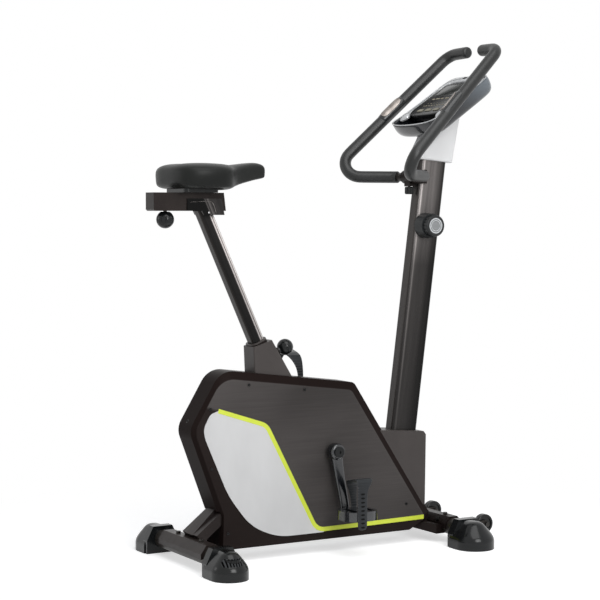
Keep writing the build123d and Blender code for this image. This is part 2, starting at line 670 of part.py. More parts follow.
def make_crank_bolts():
    """Cap bolts that hold the arms on the axle."""
    outer = ARM_INNER_Y + ARM_THICK
    right = cylinder_y(CRANK_CAP_R, -outer - CRANK_CAP_LENGTH, -outer, CRANK_X, CRANK_Z)
    right -= Pos(CRANK_X, -outer - CRANK_CAP_LENGTH, CRANK_Z) * Rot(90, 0, 0) * extrude(
        RegularPolygon(5, 6), amount=6, both=True) & cylinder_y(8, -outer - 9, -outer - 2, CRANK_X, CRANK_Z)
    return [right, mirrored(right)]


def make_pedal_spindles():
    """Threaded spindles, each with a flange against its arm."""
    pieces = []
    outer = ARM_INNER_Y + ARM_THICK
    for side in (-1, 1):
        x, z = pedal_centre(side)
        tip = outer + SPINDLE_FLANGE + PEDAL_GAP + PEDAL_WIDTH - 10
        shaft = cylinder_y(SPINDLE_R, -tip, -ARM_INNER_Y, x, z)
        flange = cylinder_y(SPINDLE_FLANGE_R, -outer - SPINDLE_FLANGE, -outer, x, z)
        spindle = shaft + flange
        pieces.append(spindle if side < 0 else mirrored(spindle))
    return pieces


def pedal_inner_y():
    """Distance from the centre plane to the pedal's inner edge."""
    return ARM_INNER_Y + ARM_THICK + SPINDLE_FLANGE + PEDAL_GAP


def make_pedal(side):
    """Open pedal body with a barrel on the spindle and two treads."""
    near = pedal_inner_y()
    far = near + PEDAL_WIDTH
    half_l = PEDAL_LENGTH / 2
    half_h = PEDAL_HEIGHT / 2
    body = box(-half_l, half_l, -far, -near, -half_h, half_h)
    body = fillet(body.edges().filter_by(Axis.Z), PEDAL_ROUND)
    gap = PEDAL_BARREL_R + 2
    for sign in (-1, 1):
        window = box(gap, half_l - PEDAL_RAIL, -far + PEDAL_RAIL, -near - PEDAL_RAIL, -half_h - 1, half_h + 1)
        body -= window if sign > 0 else mirror(window, about=Plane.YZ)
    bar_w = 7.0
    for sign in (-1, 1):
        x = sign * (gap + half_l - PEDAL_RAIL) / 2
        body += box(x - bar_w / 2, x + bar_w / 2, -far + PEDAL_RAIL - 1, -near - PEDAL_RAIL + 1, -half_h + 3,
                    half_h - 3)
    body -= cylinder_y(SPINDLE_R + RUN_FIT, -far + 9, -near + 1, 0, 0)
    x, z = pedal_centre(side)
    if side > 0:
        body = mirrored(body)
    return Pos(x, 0, z) * body


def make_pedal_strap(side):
    """Moulded strap over the foot: its inner leg stands forward, its outer leg back with a tail."""
    near = pedal_inner_y()
    far = near + PEDAL_WIDTH
    base = -PEDAL_HEIGHT / 2 + 2
    t = STRAP_THICK
    out_y = far + t
    path = FilletPolyline((0, -near + t / 2, base), (0, -near + t / 2, 50), (0, -near - 14, STRAP_RISE),
                          (0, -far + 6, STRAP_RISE + STRAP_SLOPE), (0, -far - t / 2, 60),
                          (0, -far - t / 2, base - STRAP_TAIL), radius=16)
    section = Plane(origin=path @ 0, z_dir=path % 0, x_dir=(1, 0, 0)) * Rectangle(STRAP_WIDTH, t)
    strap = sweep(section, path=path)
    edge = STRAP_WIDTH / 2 - STRAP_LEG
    strap -= box(-edge, 60, -out_y - 20, -far + 4, base - STRAP_TAIL - 5, STRAP_NECK)
    strap -= box(-60, edge, -near - 8, -near + 8, base - 5, STRAP_NECK - 20)
    for i in range(2):
        strap -= cylinder_y(2.6, -out_y - 10, -far + 6, -STRAP_WIDTH / 2 + STRAP_LEG / 2, base - 24 + 10 * i)
    strap -= cylinder_y(SPINDLE_FLANGE_R + FREE_GAP, -near - 8, -near + 8, 0, 0)
    x, z = pedal_centre(side)
    if side > 0:
        strap = mirrored(strap)
    return Pos(x, 0, z) * strap


# ---- pulley, belt, flywheel and brake ---------------------------------------------------------
def make_drive_pulley():
    """Moulded pulley on the crank axle."""
    inner = PULLEY_INNER_Y
    outer = inner + PULLEY_WIDTH
    pulley = cylinder_y(PULLEY_R, inner, outer, CRANK_X, CRANK_Z)
    recess = ring_y(PULLEY_R - 8, PULLEY_HUB_R, inner + PULLEY_WEB, outer, CRANK_X, CRANK_Z)
    pulley -= recess
    for i in range(5):
        angle = 2 * math.pi * i / 5
        x = CRANK_X + PULLEY_R * 0.58 * math.cos(angle)
        z = CRANK_Z + PULLEY_R * 0.58 * math.sin(angle)
        pulley -= cylinder_y(24, inner - 1, outer, x, z)
    return pulley - cylinder_y(CRANK_AXLE_R, inner - 1, outer + 1, CRANK_X, CRANK_Z)


def belt_loop(extra):
    """Outline that the belt makes round both pulleys, grown by a distance."""
    large = Pos(CRANK_X, CRANK_Z) * Circle(PULLEY_R + extra)
    small = Pos(FLYWHEEL_X, FLYWHEEL_Z) * Circle(SMALL_PULLEY_R + extra)
    return make_face(make_hull((large + small).edges()))


def make_drive_belt():
    """Ribbed belt from the drive pulley to the flywheel's pulley."""
    start = PULLEY_INNER_Y + (PULLEY_WIDTH - BELT_WIDTH) / 2
    outer = extrude(belt_loop(BELT_THICK + 0.3), amount=BELT_WIDTH)
    inner = extrude(belt_loop(0.3), amount=BELT_WIDTH)
    return Pos(0, start + BELT_WIDTH, 0) * Rot(90, 0, 0) * (outer - inner)


def make_flywheel():
    """Cast flywheel: rim, web and hub."""
    inner = FLYWHEEL_INNER_Y
    outer = inner + FLYWHEEL_WIDTH
    middle = (inner + outer) / 2
    rim = ring_y(FLYWHEEL_R, FLYWHEEL_R - FLYWHEEL_RIM, -outer, -inner, FLYWHEEL_X, FLYWHEEL_Z)
    web = cylinder_y(FLYWHEEL_R - 2, -middle - FLYWHEEL_WEB / 2, -middle + FLYWHEEL_WEB / 2,
                     FLYWHEEL_X, FLYWHEEL_Z)
    hub = cylinder_y(FLYWHEEL_HUB_R, -outer, -inner, FLYWHEEL_X, FLYWHEEL_Z)
    bore = cylinder_y(FLYWHEEL_AXLE_R, -outer - 1, -inner + 1, FLYWHEEL_X, FLYWHEEL_Z)
    return rim + web + hub - bore


def make_flywheel_axle():
    """Flywheel axle with the small belt pulley turned on its left end."""
    start = -FLYWHEEL_INNER_Y - FLYWHEEL_WIDTH - 2
    axle = cylinder_y(FLYWHEEL_AXLE_R, start, PULLEY_INNER_Y + PULLEY_WIDTH, FLYWHEEL_X, FLYWHEEL_Z)
    return axle + cylinder_y(SMALL_PULLEY_R, PULLEY_INNER_Y, PULLEY_INNER_Y + PULLEY_WIDTH,
                             FLYWHEEL_X, FLYWHEEL_Z)


def brake_pivot():
    """X and Z of the magnet arm's pivot, in front of the flywheel."""
    return FLYWHEEL_X + FLYWHEEL_R + BRAKE_PIVOT_OUT, FLYWHEEL_Z


def make_magnet_arm():
    """Curved steel arm round the flywheel's rim, its magnets inside and its eye on the pivot."""
    near = -FLYWHEEL_INNER_Y - FLYWHEEL_WIDTH + 1
    far = -FLYWHEEL_INNER_Y + 1
    inner = FLYWHEEL_R + MAGNET_GAP + MAGNET_THICK
    arm = ring_y(inner + BRAKE_ARM_THICK, inner, near, far, FLYWHEEL_X, FLYWHEEL_Z)
    reach = 300.0
    span = math.radians(BRAKE_SPAN)
    wedge = prism_y([(FLYWHEEL_X, FLYWHEEL_Z), (FLYWHEEL_X + reach, FLYWHEEL_Z - 1),
                     (FLYWHEEL_X + reach, FLYWHEEL_Z + reach),
                     (FLYWHEEL_X + reach * math.cos(span), FLYWHEEL_Z + reach * math.sin(span))], near, far)
    arm &= wedge
    magnets = ring_y(inner + 1, inner - MAGNET_THICK, near + 2, far - 2, FLYWHEEL_X, FLYWHEEL_Z)
    for i in range(5):
        angle = math.radians(12 + i * (BRAKE_SPAN - 18) / 4)
        x = FLYWHEEL_X + inner * math.cos(angle)
        z = FLYWHEEL_Z + inner * math.sin(angle)
        arm += magnets & (Pos(x, (near + far) / 2, z) * Rot(0, -math.degrees(angle), 0)
                          * Box(30, far - near, 16))
    x, z = brake_pivot()
    eye = cylinder_y(BRAKE_PIVOT_R + 6, near, far, x, z)
    lever = prism_y([(x - 8, z - 4), (x + 8, z - 4), (x + 5, z - 34), (x - 5, z - 34)], near, far)
    arm += eye + lever
    return arm - cylinder_y(BRAKE_PIVOT_R + RUN_FIT, near - 1, far + 1, x, z)


CABLE_R = 2.5
CABLE_TOP = 264.0       # along the post from MAST_Z
CABLE_EXIT = -330.0
CABLE_BENDS = [(150.0, -12.0, 205.0), (70.0, -34.0, 178.0), (-30.0, -39.0, 165.0)]


def cable_end():
    """Where the cable's casing stops, beside the magnet arm's lever."""
    x, z = brake_pivot()
    return x + 34.0, -39.0, z - 36.0


def sweep_cable(radius):
    """Round solid along the cable's route."""
    top_x, top_z = on_mast(CABLE_TOP)
    exit_x, exit_z = on_mast(CABLE_EXIT)
    points = [(top_x, 0.0, top_z), (exit_x, 0.0, exit_z)] + CABLE_BENDS + [cable_end()]
    path = FilletPolyline(*points, radius=24)
    section = Plane(origin=path @ 0, z_dir=path % 0) * Circle(radius)
    return sweep(section, path=path)


def make_tension_cable():
    """Cable from the resistance knob down the post and back through the casing to the brake."""
    return sweep_cable(CABLE_R)


# ---- casing -----------------------------------------------------------------------------------
def rounded_outline(corners, rounds, y):
    """Closed outline in the XZ plane at a given Y, with its own rounding at each corner."""
    return FilletPolyline(*[(x, y, z) for x, z in corners], radius=rounds, close=True)


def case_half(inset, face_y):
    """Right half of the casing as a solid: a straight rim, then a bevel to the flat side face."""
    rim = edge_offset(CASE_RIM, [-inset] * len(CASE_RIM))
    face = edge_offset([(x, z) for x, z, _ in CASE_CORNERS], [-inset] * len(CASE_CORNERS))
    rounds = [max(r - inset, 2.0) for r in CASE_ROUNDS]
    rim_wire = rounded_outline(rim, rounds, 0)
    straight = extrude(make_face(rim_wire), amount=CASE_RIM_HALF, dir=(0, -1, 0))
    low = make_face(rounded_outline(rim, rounds, -CASE_RIM_HALF))
    high = make_face(rounded_outline(face, rounds, -face_y))
    return straight + loft([low, high], ruled=True)


def post_hole(clearance):
    """Room for the handlebar post, longer than the post's lower part."""
    bar = rounded_bar(MAST_DEPTH + 2 * clearance, MAST_WIDTH + 2 * clearance, 700, MAST_ROUND)
    return MAST_FRAME * Pos(0, 0, -560) * bar


def frame_room():
    """Everything of the frame that passes through the casing's walls."""
    gap = 2.0
    seat = SEAT_FRAME * Pos(0, 0, -SEAT_TUBE_TOP - 300) * rounded_bar(
        SEAT_TUBE_D + 2 * gap, SEAT_TUBE_W + 2 * gap, 300, SEAT_POST_ROUND + 4)
    foot = leg_foot()
    leg = beam(foot, (foot[0] + 100, foot[1] + 78), LEG_FOOT_WIDTH + 2 * gap, LEG_DEPTH + 5 * gap)
    leg += beam(foot, (FLYWHEEL_X - 16, FLYWHEEL_Z - 14), LEG_WIDTH + 2 * gap, LEG_DEPTH + 2 * gap)
    rail = box(150, 400, -RAIL_WIDTH / 2 - gap, RAIL_WIDTH / 2 + gap,
               RAIL_Z - RAIL_HEIGHT / 2 - gap, RAIL_Z + RAIL_HEIGHT / 2 + gap)
    axle = cylinder_y(ARM_WIDTH_TOP / 2 - 3, -100, 100, CRANK_X, CRANK_Z)
    return seat + leg + rail + axle + post_hole(gap)


def make_case_right():
    """Right casing shell."""
    shell = case_half(0, CASE_HALF) - case_half(PLASTIC_WALL, CASE_HALF - PLASTIC_WALL)
    shell -= frame_room()
    jack_x, jack_z = jack_place()
    return shell - Pos(jack_x, 0, jack_z) * Rot(0, jack_tilt(), 0) * Cylinder(JACK_R, 20)


def jack_place():
    """X and Z of the power socket, on the upper rear edge of the rim."""
    share = 0.86
    start, end = CASE_RIM[1], CASE_RIM[2]
    return start[0] + share * (end[0] - start[0]), start[1] + share * (end[1] - start[1])


def jack_tilt():
    """Degrees that the socket's axis leans back from straight up."""
    start, end = CASE_RIM[1], CASE_RIM[2]
    return -90 + math.degrees(math.atan2(start[0] - end[0], start[1] - end[1]))


def make_power_jack():
    """Power socket set in the casing's rear edge."""
    socket = Cylinder(JACK_R, 16) - Pos(0, 0, 4) * Cylinder(JACK_R - 2.5, 12)
    pin = Pos(0, 0, 2) * Cylinder(1, 10)
    x, z = jack_place()
    return Pos(x, 0, z) * Rot(0, jack_tilt(), 0) * Pos(0, 0, -8.5) * (socket + pin)


STRIPE_LINE = [(-362.0, 418.0), (-214.0, 370.0), (-54.0, 66.0), (306.0, 71.0)]
STRIPE_ROUND = 42.0
PANEL_EDGE = [          # rear and lower edge of the pale panel: X, Z, rounding
    (-386.0, 410.0, 24.0),
    (-407.0, 372.0, 40.0),
    (-402.0, 344.0, 100.0),
    (-332.0, 184.0, 290.0),
    (-262.0, 93.0, 170.0),
    (-176.0, 58.0, 190.0),
]


def stripe_solid():
    """Coloured stripe standing on the right side face."""
    path = FilletPolyline(*[(x, -CASE_HALF - PANEL_THICK / 2, z) for x, z in STRIPE_LINE],
                          radius=STRIPE_ROUND)
    section = Plane(origin=path @ 0, z_dir=path % 0, x_dir=(0, 1, 0)) * Rectangle(PANEL_THICK, STRIPE_WIDTH)
    return sweep(section, path=path)


def make_trim_stripes():
    """Coloured stripe on each side of the casing."""
    right = stripe_solid()
    return [right, mirrored(right)]


def make_side_panels():
    """Pale panel behind the stripe on each side of the casing."""
    fold_x, fold_z = STRIPE_LINE[2]
    outline = [(*STRIPE_LINE[0], 1.0)] + PANEL_EDGE
    outline += [(fold_x + 22, 58.0, 2.0), (fold_x + 30, fold_z, 2.0), (fold_x, fold_z, 1.0), (*STRIPE_LINE[1], 1.0)]
    wire = rounded_outline([(x, z) for x, z, _ in outline], [r for _, _, r in outline], -CASE_HALF)
    panel = extrude(make_face(wire), amount=PANEL_THICK, dir=(0, -1, 0))
    path = FilletPolyline(*[(x, -CASE_HALF - PANEL_THICK / 2, z) for x, z in STRIPE_LINE],
                          radius=STRIPE_ROUND)
    band = Plane(origin=path @ 0, z_dir=path % 0, x_dir=(0, 1, 0)) * Rectangle(
        PANEL_THICK * 2, STRIPE_WIDTH + 0.4)
    cut = sweep(band, path=path)
    pieces = (panel - cut).solids().sort_by(SortBy.VOLUME)
    right = pieces[-1]
    return [right, mirrored(right)]


CASE_SCREWS = [(-268.0, 484.0), (-93.0, 462.0), (-386.0, 424.0), (-382.0, 262.0), (246.0, 114.0),
               (-333.0, 82.0)]


def make_case_screws():
    """Screws that close the two shells, seen on both side faces."""
    pieces = []
    for x, z in CASE_SCREWS:
        right = cylinder_y(SCREW_R, -CASE_HALF - 2, -CASE_HALF, x, z)
        right -= Pos(x, -CASE_HALF - 2, z) * (Box(5, 1.6, 1.2) + Box(1.2, 1.6, 5))
        pieces += [right, mirrored(right)]
    return pieces


def make_seat_cover():
    """Moulded collar over the top of the seat tube."""
    outline = [(SEAT_COVER_REAR, SEAT_COVER_BASE), (SEAT_COVER_REAR - 4, SEAT_COVER_TOP_REAR),
               (SEAT_COVER_TOP_FRONT_X, SEAT_COVER_TOP_FRONT_Z), (SEAT_COVER_FRONT, SEAT_COVER_BASE)]
    cover = prism_y(outline, -SEAT_COVER_HALF, SEAT_COVER_HALF)
    cover = fillet(cover.edges().filter_by(Axis.Z, reverse=True).filter_by(
        lambda e: e.length > 70 and abs(e.center().Y) > 20 and e.center().Z > 520), 5)
    cover -= case_half(-0.2, CASE_HALF) + mirrored(case_half(-0.2, CASE_HALF))
    tube = SEAT_FRAME * Pos(0, 0, -SEAT_TUBE_TOP - 260) * rounded_bar(
        SEAT_TUBE_D + 1, SEAT_TUBE_W + 1, 260, SEAT_POST_ROUND + 4)
    mouth = SEAT_FRAME * Pos(0, 0, -SEAT_TUBE_TOP - 20) * rounded_bar(
        SEAT_POST_D + 6, SEAT_POST_W + 6, 80, SEAT_POST_ROUND)
    hole_x, hole_z = on_seat(HEIGHT_KNOB_DROP, SEAT_TUBE_D / 2 + 20)
    pin_hole = Pos(hole_x, 0, hole_z) * Rot(0, 90 - SEAT_LEAN, 0) * Cylinder(HEIGHT_COLLAR_R + 0.4, 44)
    return cover - tube - mouth - pin_hole


def make_base_cover():
    """Moulded cover round the foot of the handlebar post, in front of the casing."""
    rear_x = 150.0
    outline = [(rear_x, BASE_COVER_TOP + 3), (BASE_COVER_FRONT - 6, BASE_COVER_TOP - 10),
               (BASE_COVER_FRONT + 2, BASE_COVER_TOP - 20), (BASE_COVER_FRONT - 1, 104), (rear_x, 104)]
    inner = edge_offset(outline, [-PLASTIC_WALL] * len(outline))
    inner[-1] = (rear_x - 40, 95)
    inner[0] = (rear_x - 40, BASE_COVER_TOP)
    inner[-2] = (inner[-2][0], 95)
    cover = prism_y(outline, -BASE_COVER_HALF, BASE_COVER_HALF)
    cover -= prism_y(inner, -BASE_COVER_HALF + PLASTIC_WALL, BASE_COVER_HALF - PLASTIC_WALL)
    cover -= post_hole(0.5)
    cover -= case_half(-0.5, CASE_HALF) + mirrored(case_half(-0.5, CASE_HALF))
    return cover.solids().sort_by(SortBy.VOLUME)[-1]


# ---- seat post and saddle ---------------------------------------------------------------------
def make_seat_post():
    """Oval seat post with its height holes, the rail and the head bracket welded on its top."""
    post = rounded_tube(SEAT_POST_D, SEAT_POST_W, SEAT_POST_LENGTH, SEAT_POST_ROUND, STEEL_WALL)
    post = SEAT_FRAME * Pos(0, 0, -SEAT_POST_LENGTH + 12) * post
    for i in range(HEIGHT_HOLES):
        down = HEIGHT_KNOB_DROP + HEIGHT_PITCH * (i - HEIGHT_HOLES // 2)
        hole_x, hole_z = on_seat(down, SEAT_POST_D / 2)
        post -= Pos(hole_x, 0, hole_z) * Rot(0, 90 - SEAT_LEAN, 0) * Cylinder(HEIGHT_PIN_R + SLIDE_FIT, 8)
    rail_bottom = SLIDER_BOTTOM + PLASTIC_WALL + SLIDE_FIT
    post &= box(-600, 200, -60, 60, 0, rail_bottom)
    return post + saddle_rail() + head_bracket()


def rail_bar_limits():
    """Limits of the short rail inside the slider: X from, X to, Z from, Z to."""
    front = SLIDER_FRONT - PLASTIC_WALL - 1.0
    bottom = SLIDER_BOTTOM + PLASTIC_WALL + SLIDE_FIT
    return front - RAIL_BAR_LENGTH, front, bottom, bottom + RAIL_BAR_H


def saddle_rail():
    """Short steel rail welded across the seat post that the saddle slides on."""
    x_from, x_to, z_from, z_to = rail_bar_limits()
    rail = box(x_from, x_to, -RAIL_BAR_W / 2, RAIL_BAR_W / 2, z_from, z_to)
    return rail - box(x_from - 1, x_to + 1, -RAIL_BAR_W / 2 + 3, RAIL_BAR_W / 2 - 3, z_from + 3, z_to - 3)


def head_bracket():
    """Folded bracket on top of the seat post, round the saddle's slider."""
    inner = SLIDER_W / 2 + SLIDE_FIT
    outer = inner + HEAD_WALL
    floor_z = SLIDER_BOTTOM - SLIDE_FIT
    outline = [(HEAD_REAR, HEAD_TOP), (HEAD_REAR, SLIDER_BOTTOM), (HEAD_STEP, SLIDER_BOTTOM),
               (HEAD_STEP + 6, HEAD_BOTTOM), (HEAD_FRONT + 8, HEAD_BOTTOM), (HEAD_FRONT, HEAD_TOP)]
    bracket = prism_y(outline, -outer, outer)
    bracket -= box(HEAD_REAR - 1, HEAD_FRONT + 20, -inner, inner, floor_z, HEAD_TOP + 1)
    return bracket - box(HEAD_STEP + 12, HEAD_FRONT + 20, -inner, inner, HEAD_BOTTOM - 1, floor_z - HEAD_WALL)


def make_saddle_slider():
    """Box channel under the saddle, closed round the rail and slotted for the seat post."""
    wall = PLASTIC_WALL
    x_from, x_to, z_from, z_to = rail_bar_limits()
    body = prism_y([(SLIDER_REAR, SLIDER_BOTTOM + 4), (SLIDER_REAR + 4, SLIDER_BOTTOM),
                    (SLIDER_FRONT + 6, SLIDER_BOTTOM), (SLIDER_FRONT, SLIDER_TOP),
                    (SLIDER_REAR, SLIDER_TOP)], -SLIDER_W / 2, SLIDER_W / 2)
    half = RAIL_BAR_W / 2 + SLIDE_FIT
    body -= box(SLIDER_REAR + wall, SLIDER_FRONT - wall, -half, half, z_from - SLIDE_FIT, z_to + SLIDE_FIT)
    body -= box(SLIDER_REAR + 40, SLIDER_FRONT - 26, -half, half, z_to - 1, SLIDER_TOP - 4)
    post_x = seat_line_x(SLIDER_BOTTOM)
    slot = SEAT_POST_W / 2 + 1
    body -= box(post_x - SEAT_POST_D / 2 - SLIDER_TRAVEL - 6, post_x + SEAT_POST_D / 2 + 5, -slot, slot,
                SLIDER_BOTTOM - 1, z_from + 1)
    return body - Pos(SADDLE_KNOB_X, 0, SLIDER_BOTTOM) * Cylinder(5 + SLIDE_FIT, 20)


def saddle_outline():
    """Plan of the saddle: wide rear, narrow nose."""
    left = Pos(SADDLE_REAR_X, SADDLE_REAR_Y) * Circle(SADDLE_REAR_R)
    right = Pos(SADDLE_REAR_X, -SADDLE_REAR_Y) * Circle(SADDLE_REAR_R)
    nose = Pos(SADDLE_NOSE_X, 0) * Circle(SADDLE_NOSE_R)
    return make_face(make_hull((left + right + nose).edges()))


def make_saddle_pan():
    """Pan that bolts the saddle's foam down to the slider."""
    plan = RectangleRounded(SADDLE_PAN_LENGTH, 2 * SADDLE_PAN_HALF, SADDLE_PAN_ROUND)
    return Pos(SADDLE_PAN_X, 0, SLIDER_TOP) * extrude(plan, amount=SADDLE_PAN)


def make_saddle():
    """Foam saddle, plain and closed."""
    bottom = SLIDER_TOP + SADDLE_PAN
    pad = Pos(0, 0, bottom) * extrude(saddle_outline(), amount=SADDLE_TOP - bottom)
    pad = fillet(pad.edges().group_by(Axis.Z)[-1], SADDLE_ROUND)
    tip_x = SADDLE_NOSE_X + SADDLE_NOSE_R + 1
    under = [(SADDLE_NOSE_FROM, bottom), (tip_x, bottom + SADDLE_NOSE_LIFT), (tip_x, bottom - 1),
             (SADDLE_NOSE_FROM, bottom - 1)]
    return pad - prism_y(under, -100, 100)


def make_height_knob():
    """Pull knob with its locking pin, square to the seat tube, the pin drawn out of its hole."""
    out = HEIGHT_KNOB_OUT
    tip = SEAT_POST_D / 2 + HEIGHT_PIN_CLEAR
    pin = Pos(0, 0, (tip + out) / 2) * Cylinder(HEIGHT_PIN_R, out - tip)
    ball = Pos(0, 0, out) * Sphere(HEIGHT_KNOB_R)
    neck = Pos(0, 0, out - 20) * Cylinder(HEIGHT_COLLAR_R - 3, 12)
    knob = pin + ball + neck
    for along in (-5, 5):
        knob -= Pos(0, 0, out + along) * Torus(math.sqrt(HEIGHT_KNOB_R ** 2 - along ** 2), 1.5)
    x, z = on_seat(HEIGHT_KNOB_DROP)
    return Pos(x, 0, z) * Rot(0, 90 - SEAT_LEAN, 0) * knob


def height_collar():
    """Threaded collar welded to the seat tube, that guides the locking pin."""
    start = SEAT_TUBE_D / 2 - 1
    end = HEIGHT_KNOB_OUT - 27
    collar = Pos(0, 0, (start + end) / 2) * Cylinder(HEIGHT_COLLAR_R, end - start)
    collar -= Pos(0, 0, (start + end) / 2) * Cylinder(HEIGHT_PIN_R + RUN_FIT, end - start)
    x, z = on_seat(HEIGHT_KNOB_DROP)
    return Pos(x, 0, z) * Rot(0, 90 - SEAT_LEAN, 0) * collar


def height_pin_bore():
    """Bore for the locking pin through the front wall of the seat tube."""
    x, z = on_seat(HEIGHT_KNOB_DROP, SEAT_TUBE_D / 2)
    return Pos(x, 0, z) * Rot(0, 90 - SEAT_LEAN, 0) * Cylinder(HEIGHT_PIN_R + RUN_FIT, 20)


def make_bushing():
    """Plastic sleeve between the seat tube and the post."""
    inner_d = SEAT_POST_D + 2 * SLIDE_FIT
    inner_w = SEAT_POST_W + 2 * SLIDE_FIT
    outer_d = SEAT_TUBE_D - 2 * STEEL_WALL
    outer_w = SEAT_TUBE_W - 2 * STEEL_WALL
    sleeve = rounded_bar(outer_d, outer_w, BUSHING_DEPTH, SEAT_POST_ROUND + 2)
    flange = Pos(0, 0, BUSHING_DEPTH) * rounded_bar(SEAT_TUBE_D - 1, SEAT_TUBE_W - 1, 4, SEAT_POST_ROUND + 3)
    hole = rounded_bar(inner_d, inner_w, BUSHING_DEPTH + 4, SEAT_POST_ROUND)
    sleeve = sleeve + flange - hole
    sleeve = SEAT_FRAME * Pos(0, 0, -SEAT_TUBE_TOP - BUSHING_DEPTH) * sleeve
    hole_x, hole_z = on_seat(HEIGHT_KNOB_DROP, SEAT_TUBE_D / 2)
    return sleeve - Pos(hole_x, 0, hole_z) * Rot(0, 90 - SEAT_LEAN, 0) * Cylinder(HEIGHT_COLLAR_R, 30)


def make_saddle_knob():
    """Knob that locks the saddle fore and aft, with its stud."""
    stud_top = SLIDER_BOTTOM + PLASTIC_WALL + SLIDE_FIT - 0.6
    top = SLIDER_BOTTOM - 2
    knob = Pos(0, 0, top - SADDLE_KNOB_R + 3) * Sphere(SADDLE_KNOB_R)
    knob &= box(-50, 50, -50, 50, top - 2 * SADDLE_KNOB_R, top)
    for i in range(10):
        angle = 2 * math.pi * i / 10
        knob -= Pos(SADDLE_KNOB_R * math.cos(angle), SADDLE_KNOB_R * math.sin(angle), top - 20) * Cylinder(2.4, 60)
    knob += Pos(0, 0, (top + stud_top) / 2 - 2) * Cylinder(5, stud_top - top + 4)
    return Pos(SADDLE_KNOB_X, 0, 0) * knob


# ---- handlebar post, bar, console -------------------------------------------------------------
def make_handlebar_post():
    """Leaning rectangular post, with the hole that the cable leaves by."""
    post = rounded_tube(MAST_DEPTH, MAST_WIDTH, MAST_TOP - MAST_BOTTOM, MAST_ROUND, STEEL_WALL)
    post = MAST_FRAME * Pos(0, 0, MAST_BOTTOM) * post
    post -= cable_window() + bolt_holes()
    knob_x, knob_z = on_mast(TENSION_UP, -TENSION_BACK)
    return post - cylinder_y(8, -MAST_WIDTH, 0, knob_x, knob_z)


def make_tension_base():
    """Cone that carries the resistance dial on the post's right face."""
    x, z = on_mast(TENSION_UP, -TENSION_BACK)
    cone = Pos(x, -MAST_WIDTH / 2 - TENSION_BASE_H / 2, z) * Rot(90, 0, 0) * Cone(
        TENSION_BASE_R, TENSION_BASE_TOP_R, TENSION_BASE_H)
    stem = cylinder_y(6, -MAST_WIDTH / 2 - TENSION_BASE_H - 10, -MAST_WIDTH / 2 - TENSION_BASE_H + 1, x, z)
    return cone + stem


def make_tension_dial():
    """Resistance dial that turns on the cone."""
    x, z = on_mast(TENSION_UP, -TENSION_BACK)
    start = -MAST_WIDTH / 2 - TENSION_BASE_H - 0.4
    dial = cylinder_y(TENSION_DIAL_R, start - TENSION_DIAL_H, start, x, z)
    dial = fillet(dial.edges().group_by(Axis.Y)[0], 4)
    grips = 20
    for i in range(grips):
        angle = 2 * math.pi * i / grips
        dial -= cylinder_y(1.6, start - TENSION_DIAL_H + 5, start, x + TENSION_DIAL_R * math.cos(angle),
                           z + TENSION_DIAL_R * math.sin(angle))
    return dial - cylinder_y(6 + RUN_FIT, start - 10, start + 1, x, z)


def bar_path(side):
    """Centre line of one half of the handlebar, from the middle to its end."""
    points = [(BAR_X, 0, BAR_Z), (BAR_X, side * BAR_STRAIGHT, BAR_Z), (BAR_LOW_X, side * BAR_LOW_Y, BAR_Z + 2),
              (BAR_HIGH_X, side * BAR_HIGH_Y, BAR_HIGH_Z), (BAR_END_X, side * BAR_END_Y, BAR_END_Z)]
    return FilletPolyline(*points, radius=[BAR_BEND_SMALL, BAR_BEND_LOW, BAR_BEND_HIGH])


def sweep_round(path, radius):
    """Round bar along a path."""
    return sweep(Plane(origin=path @ 0, z_dir=path % 0) * Circle(radius), path=path)


def make_handlebar():
    """Bent steel handlebar tube."""
    halves = []
    for side in (-1, 1):
        path = bar_path(side)
        halves.append(sweep_round(path, BAR_R) - sweep_round(path, BAR_R - STEEL_WALL))
    return halves[0] + halves[1]


def make_grips():
    """Foam sleeve on each side of the handlebar, closed over the bar's end."""
    pieces = []
    for side in (-1, 1):
        path = bar_path(side)
        end = Plane(origin=path @ 1, z_dir=path % 1)
        sleeve = sweep_round(path, GRIP_R) - sweep_round(path, BAR_R)
        sleeve -= box(BAR_X - 60, BAR_X + 60, -GRIP_START, GRIP_START, BAR_Z - 60, BAR_Z + 60)
        plug = end * (Pos(0, 0, GRIP_END / 2) * Cylinder(GRIP_R, GRIP_END))
        sleeve -= pulse_plate(side)
        sleeve += fillet(plug.edges().filter_by(GeomType.CIRCLE).sort_by(Axis.Y)[0 if side > 0 else -1], 4)
        pieces.append(sleeve)
    return pieces


def pulse_frame(side):
    """Plane on the rear face of the bar's rising run, where the pulse plate lies."""
    low = Vector(BAR_LOW_X, side * BAR_LOW_Y, BAR_Z + 2)
    high = Vector(BAR_HIGH_X, side * BAR_HIGH_Y, BAR_HIGH_Z)
    along = (high - low).normalized()
    back = Vector(-1, 0, 0.1)
    normal = (back - along * back.dot(along)).normalized()
    centre = low + along * PULSE_ALONG
    return Plane(origin=centre + normal * (GRIP_R - 1), x_dir=along, z_dir=normal)


def pulse_plate(side):
    """Pulse sensor plate of one grip."""
    return pulse_frame(side) * extrude(SlotOverall(PULSE_LENGTH, PULSE_WIDTH), amount=PULSE_THICK)


def make_pulse_plates():
    """Pulse sensor plate let into each grip."""
    return [pulse_plate(-1), pulse_plate(1)]


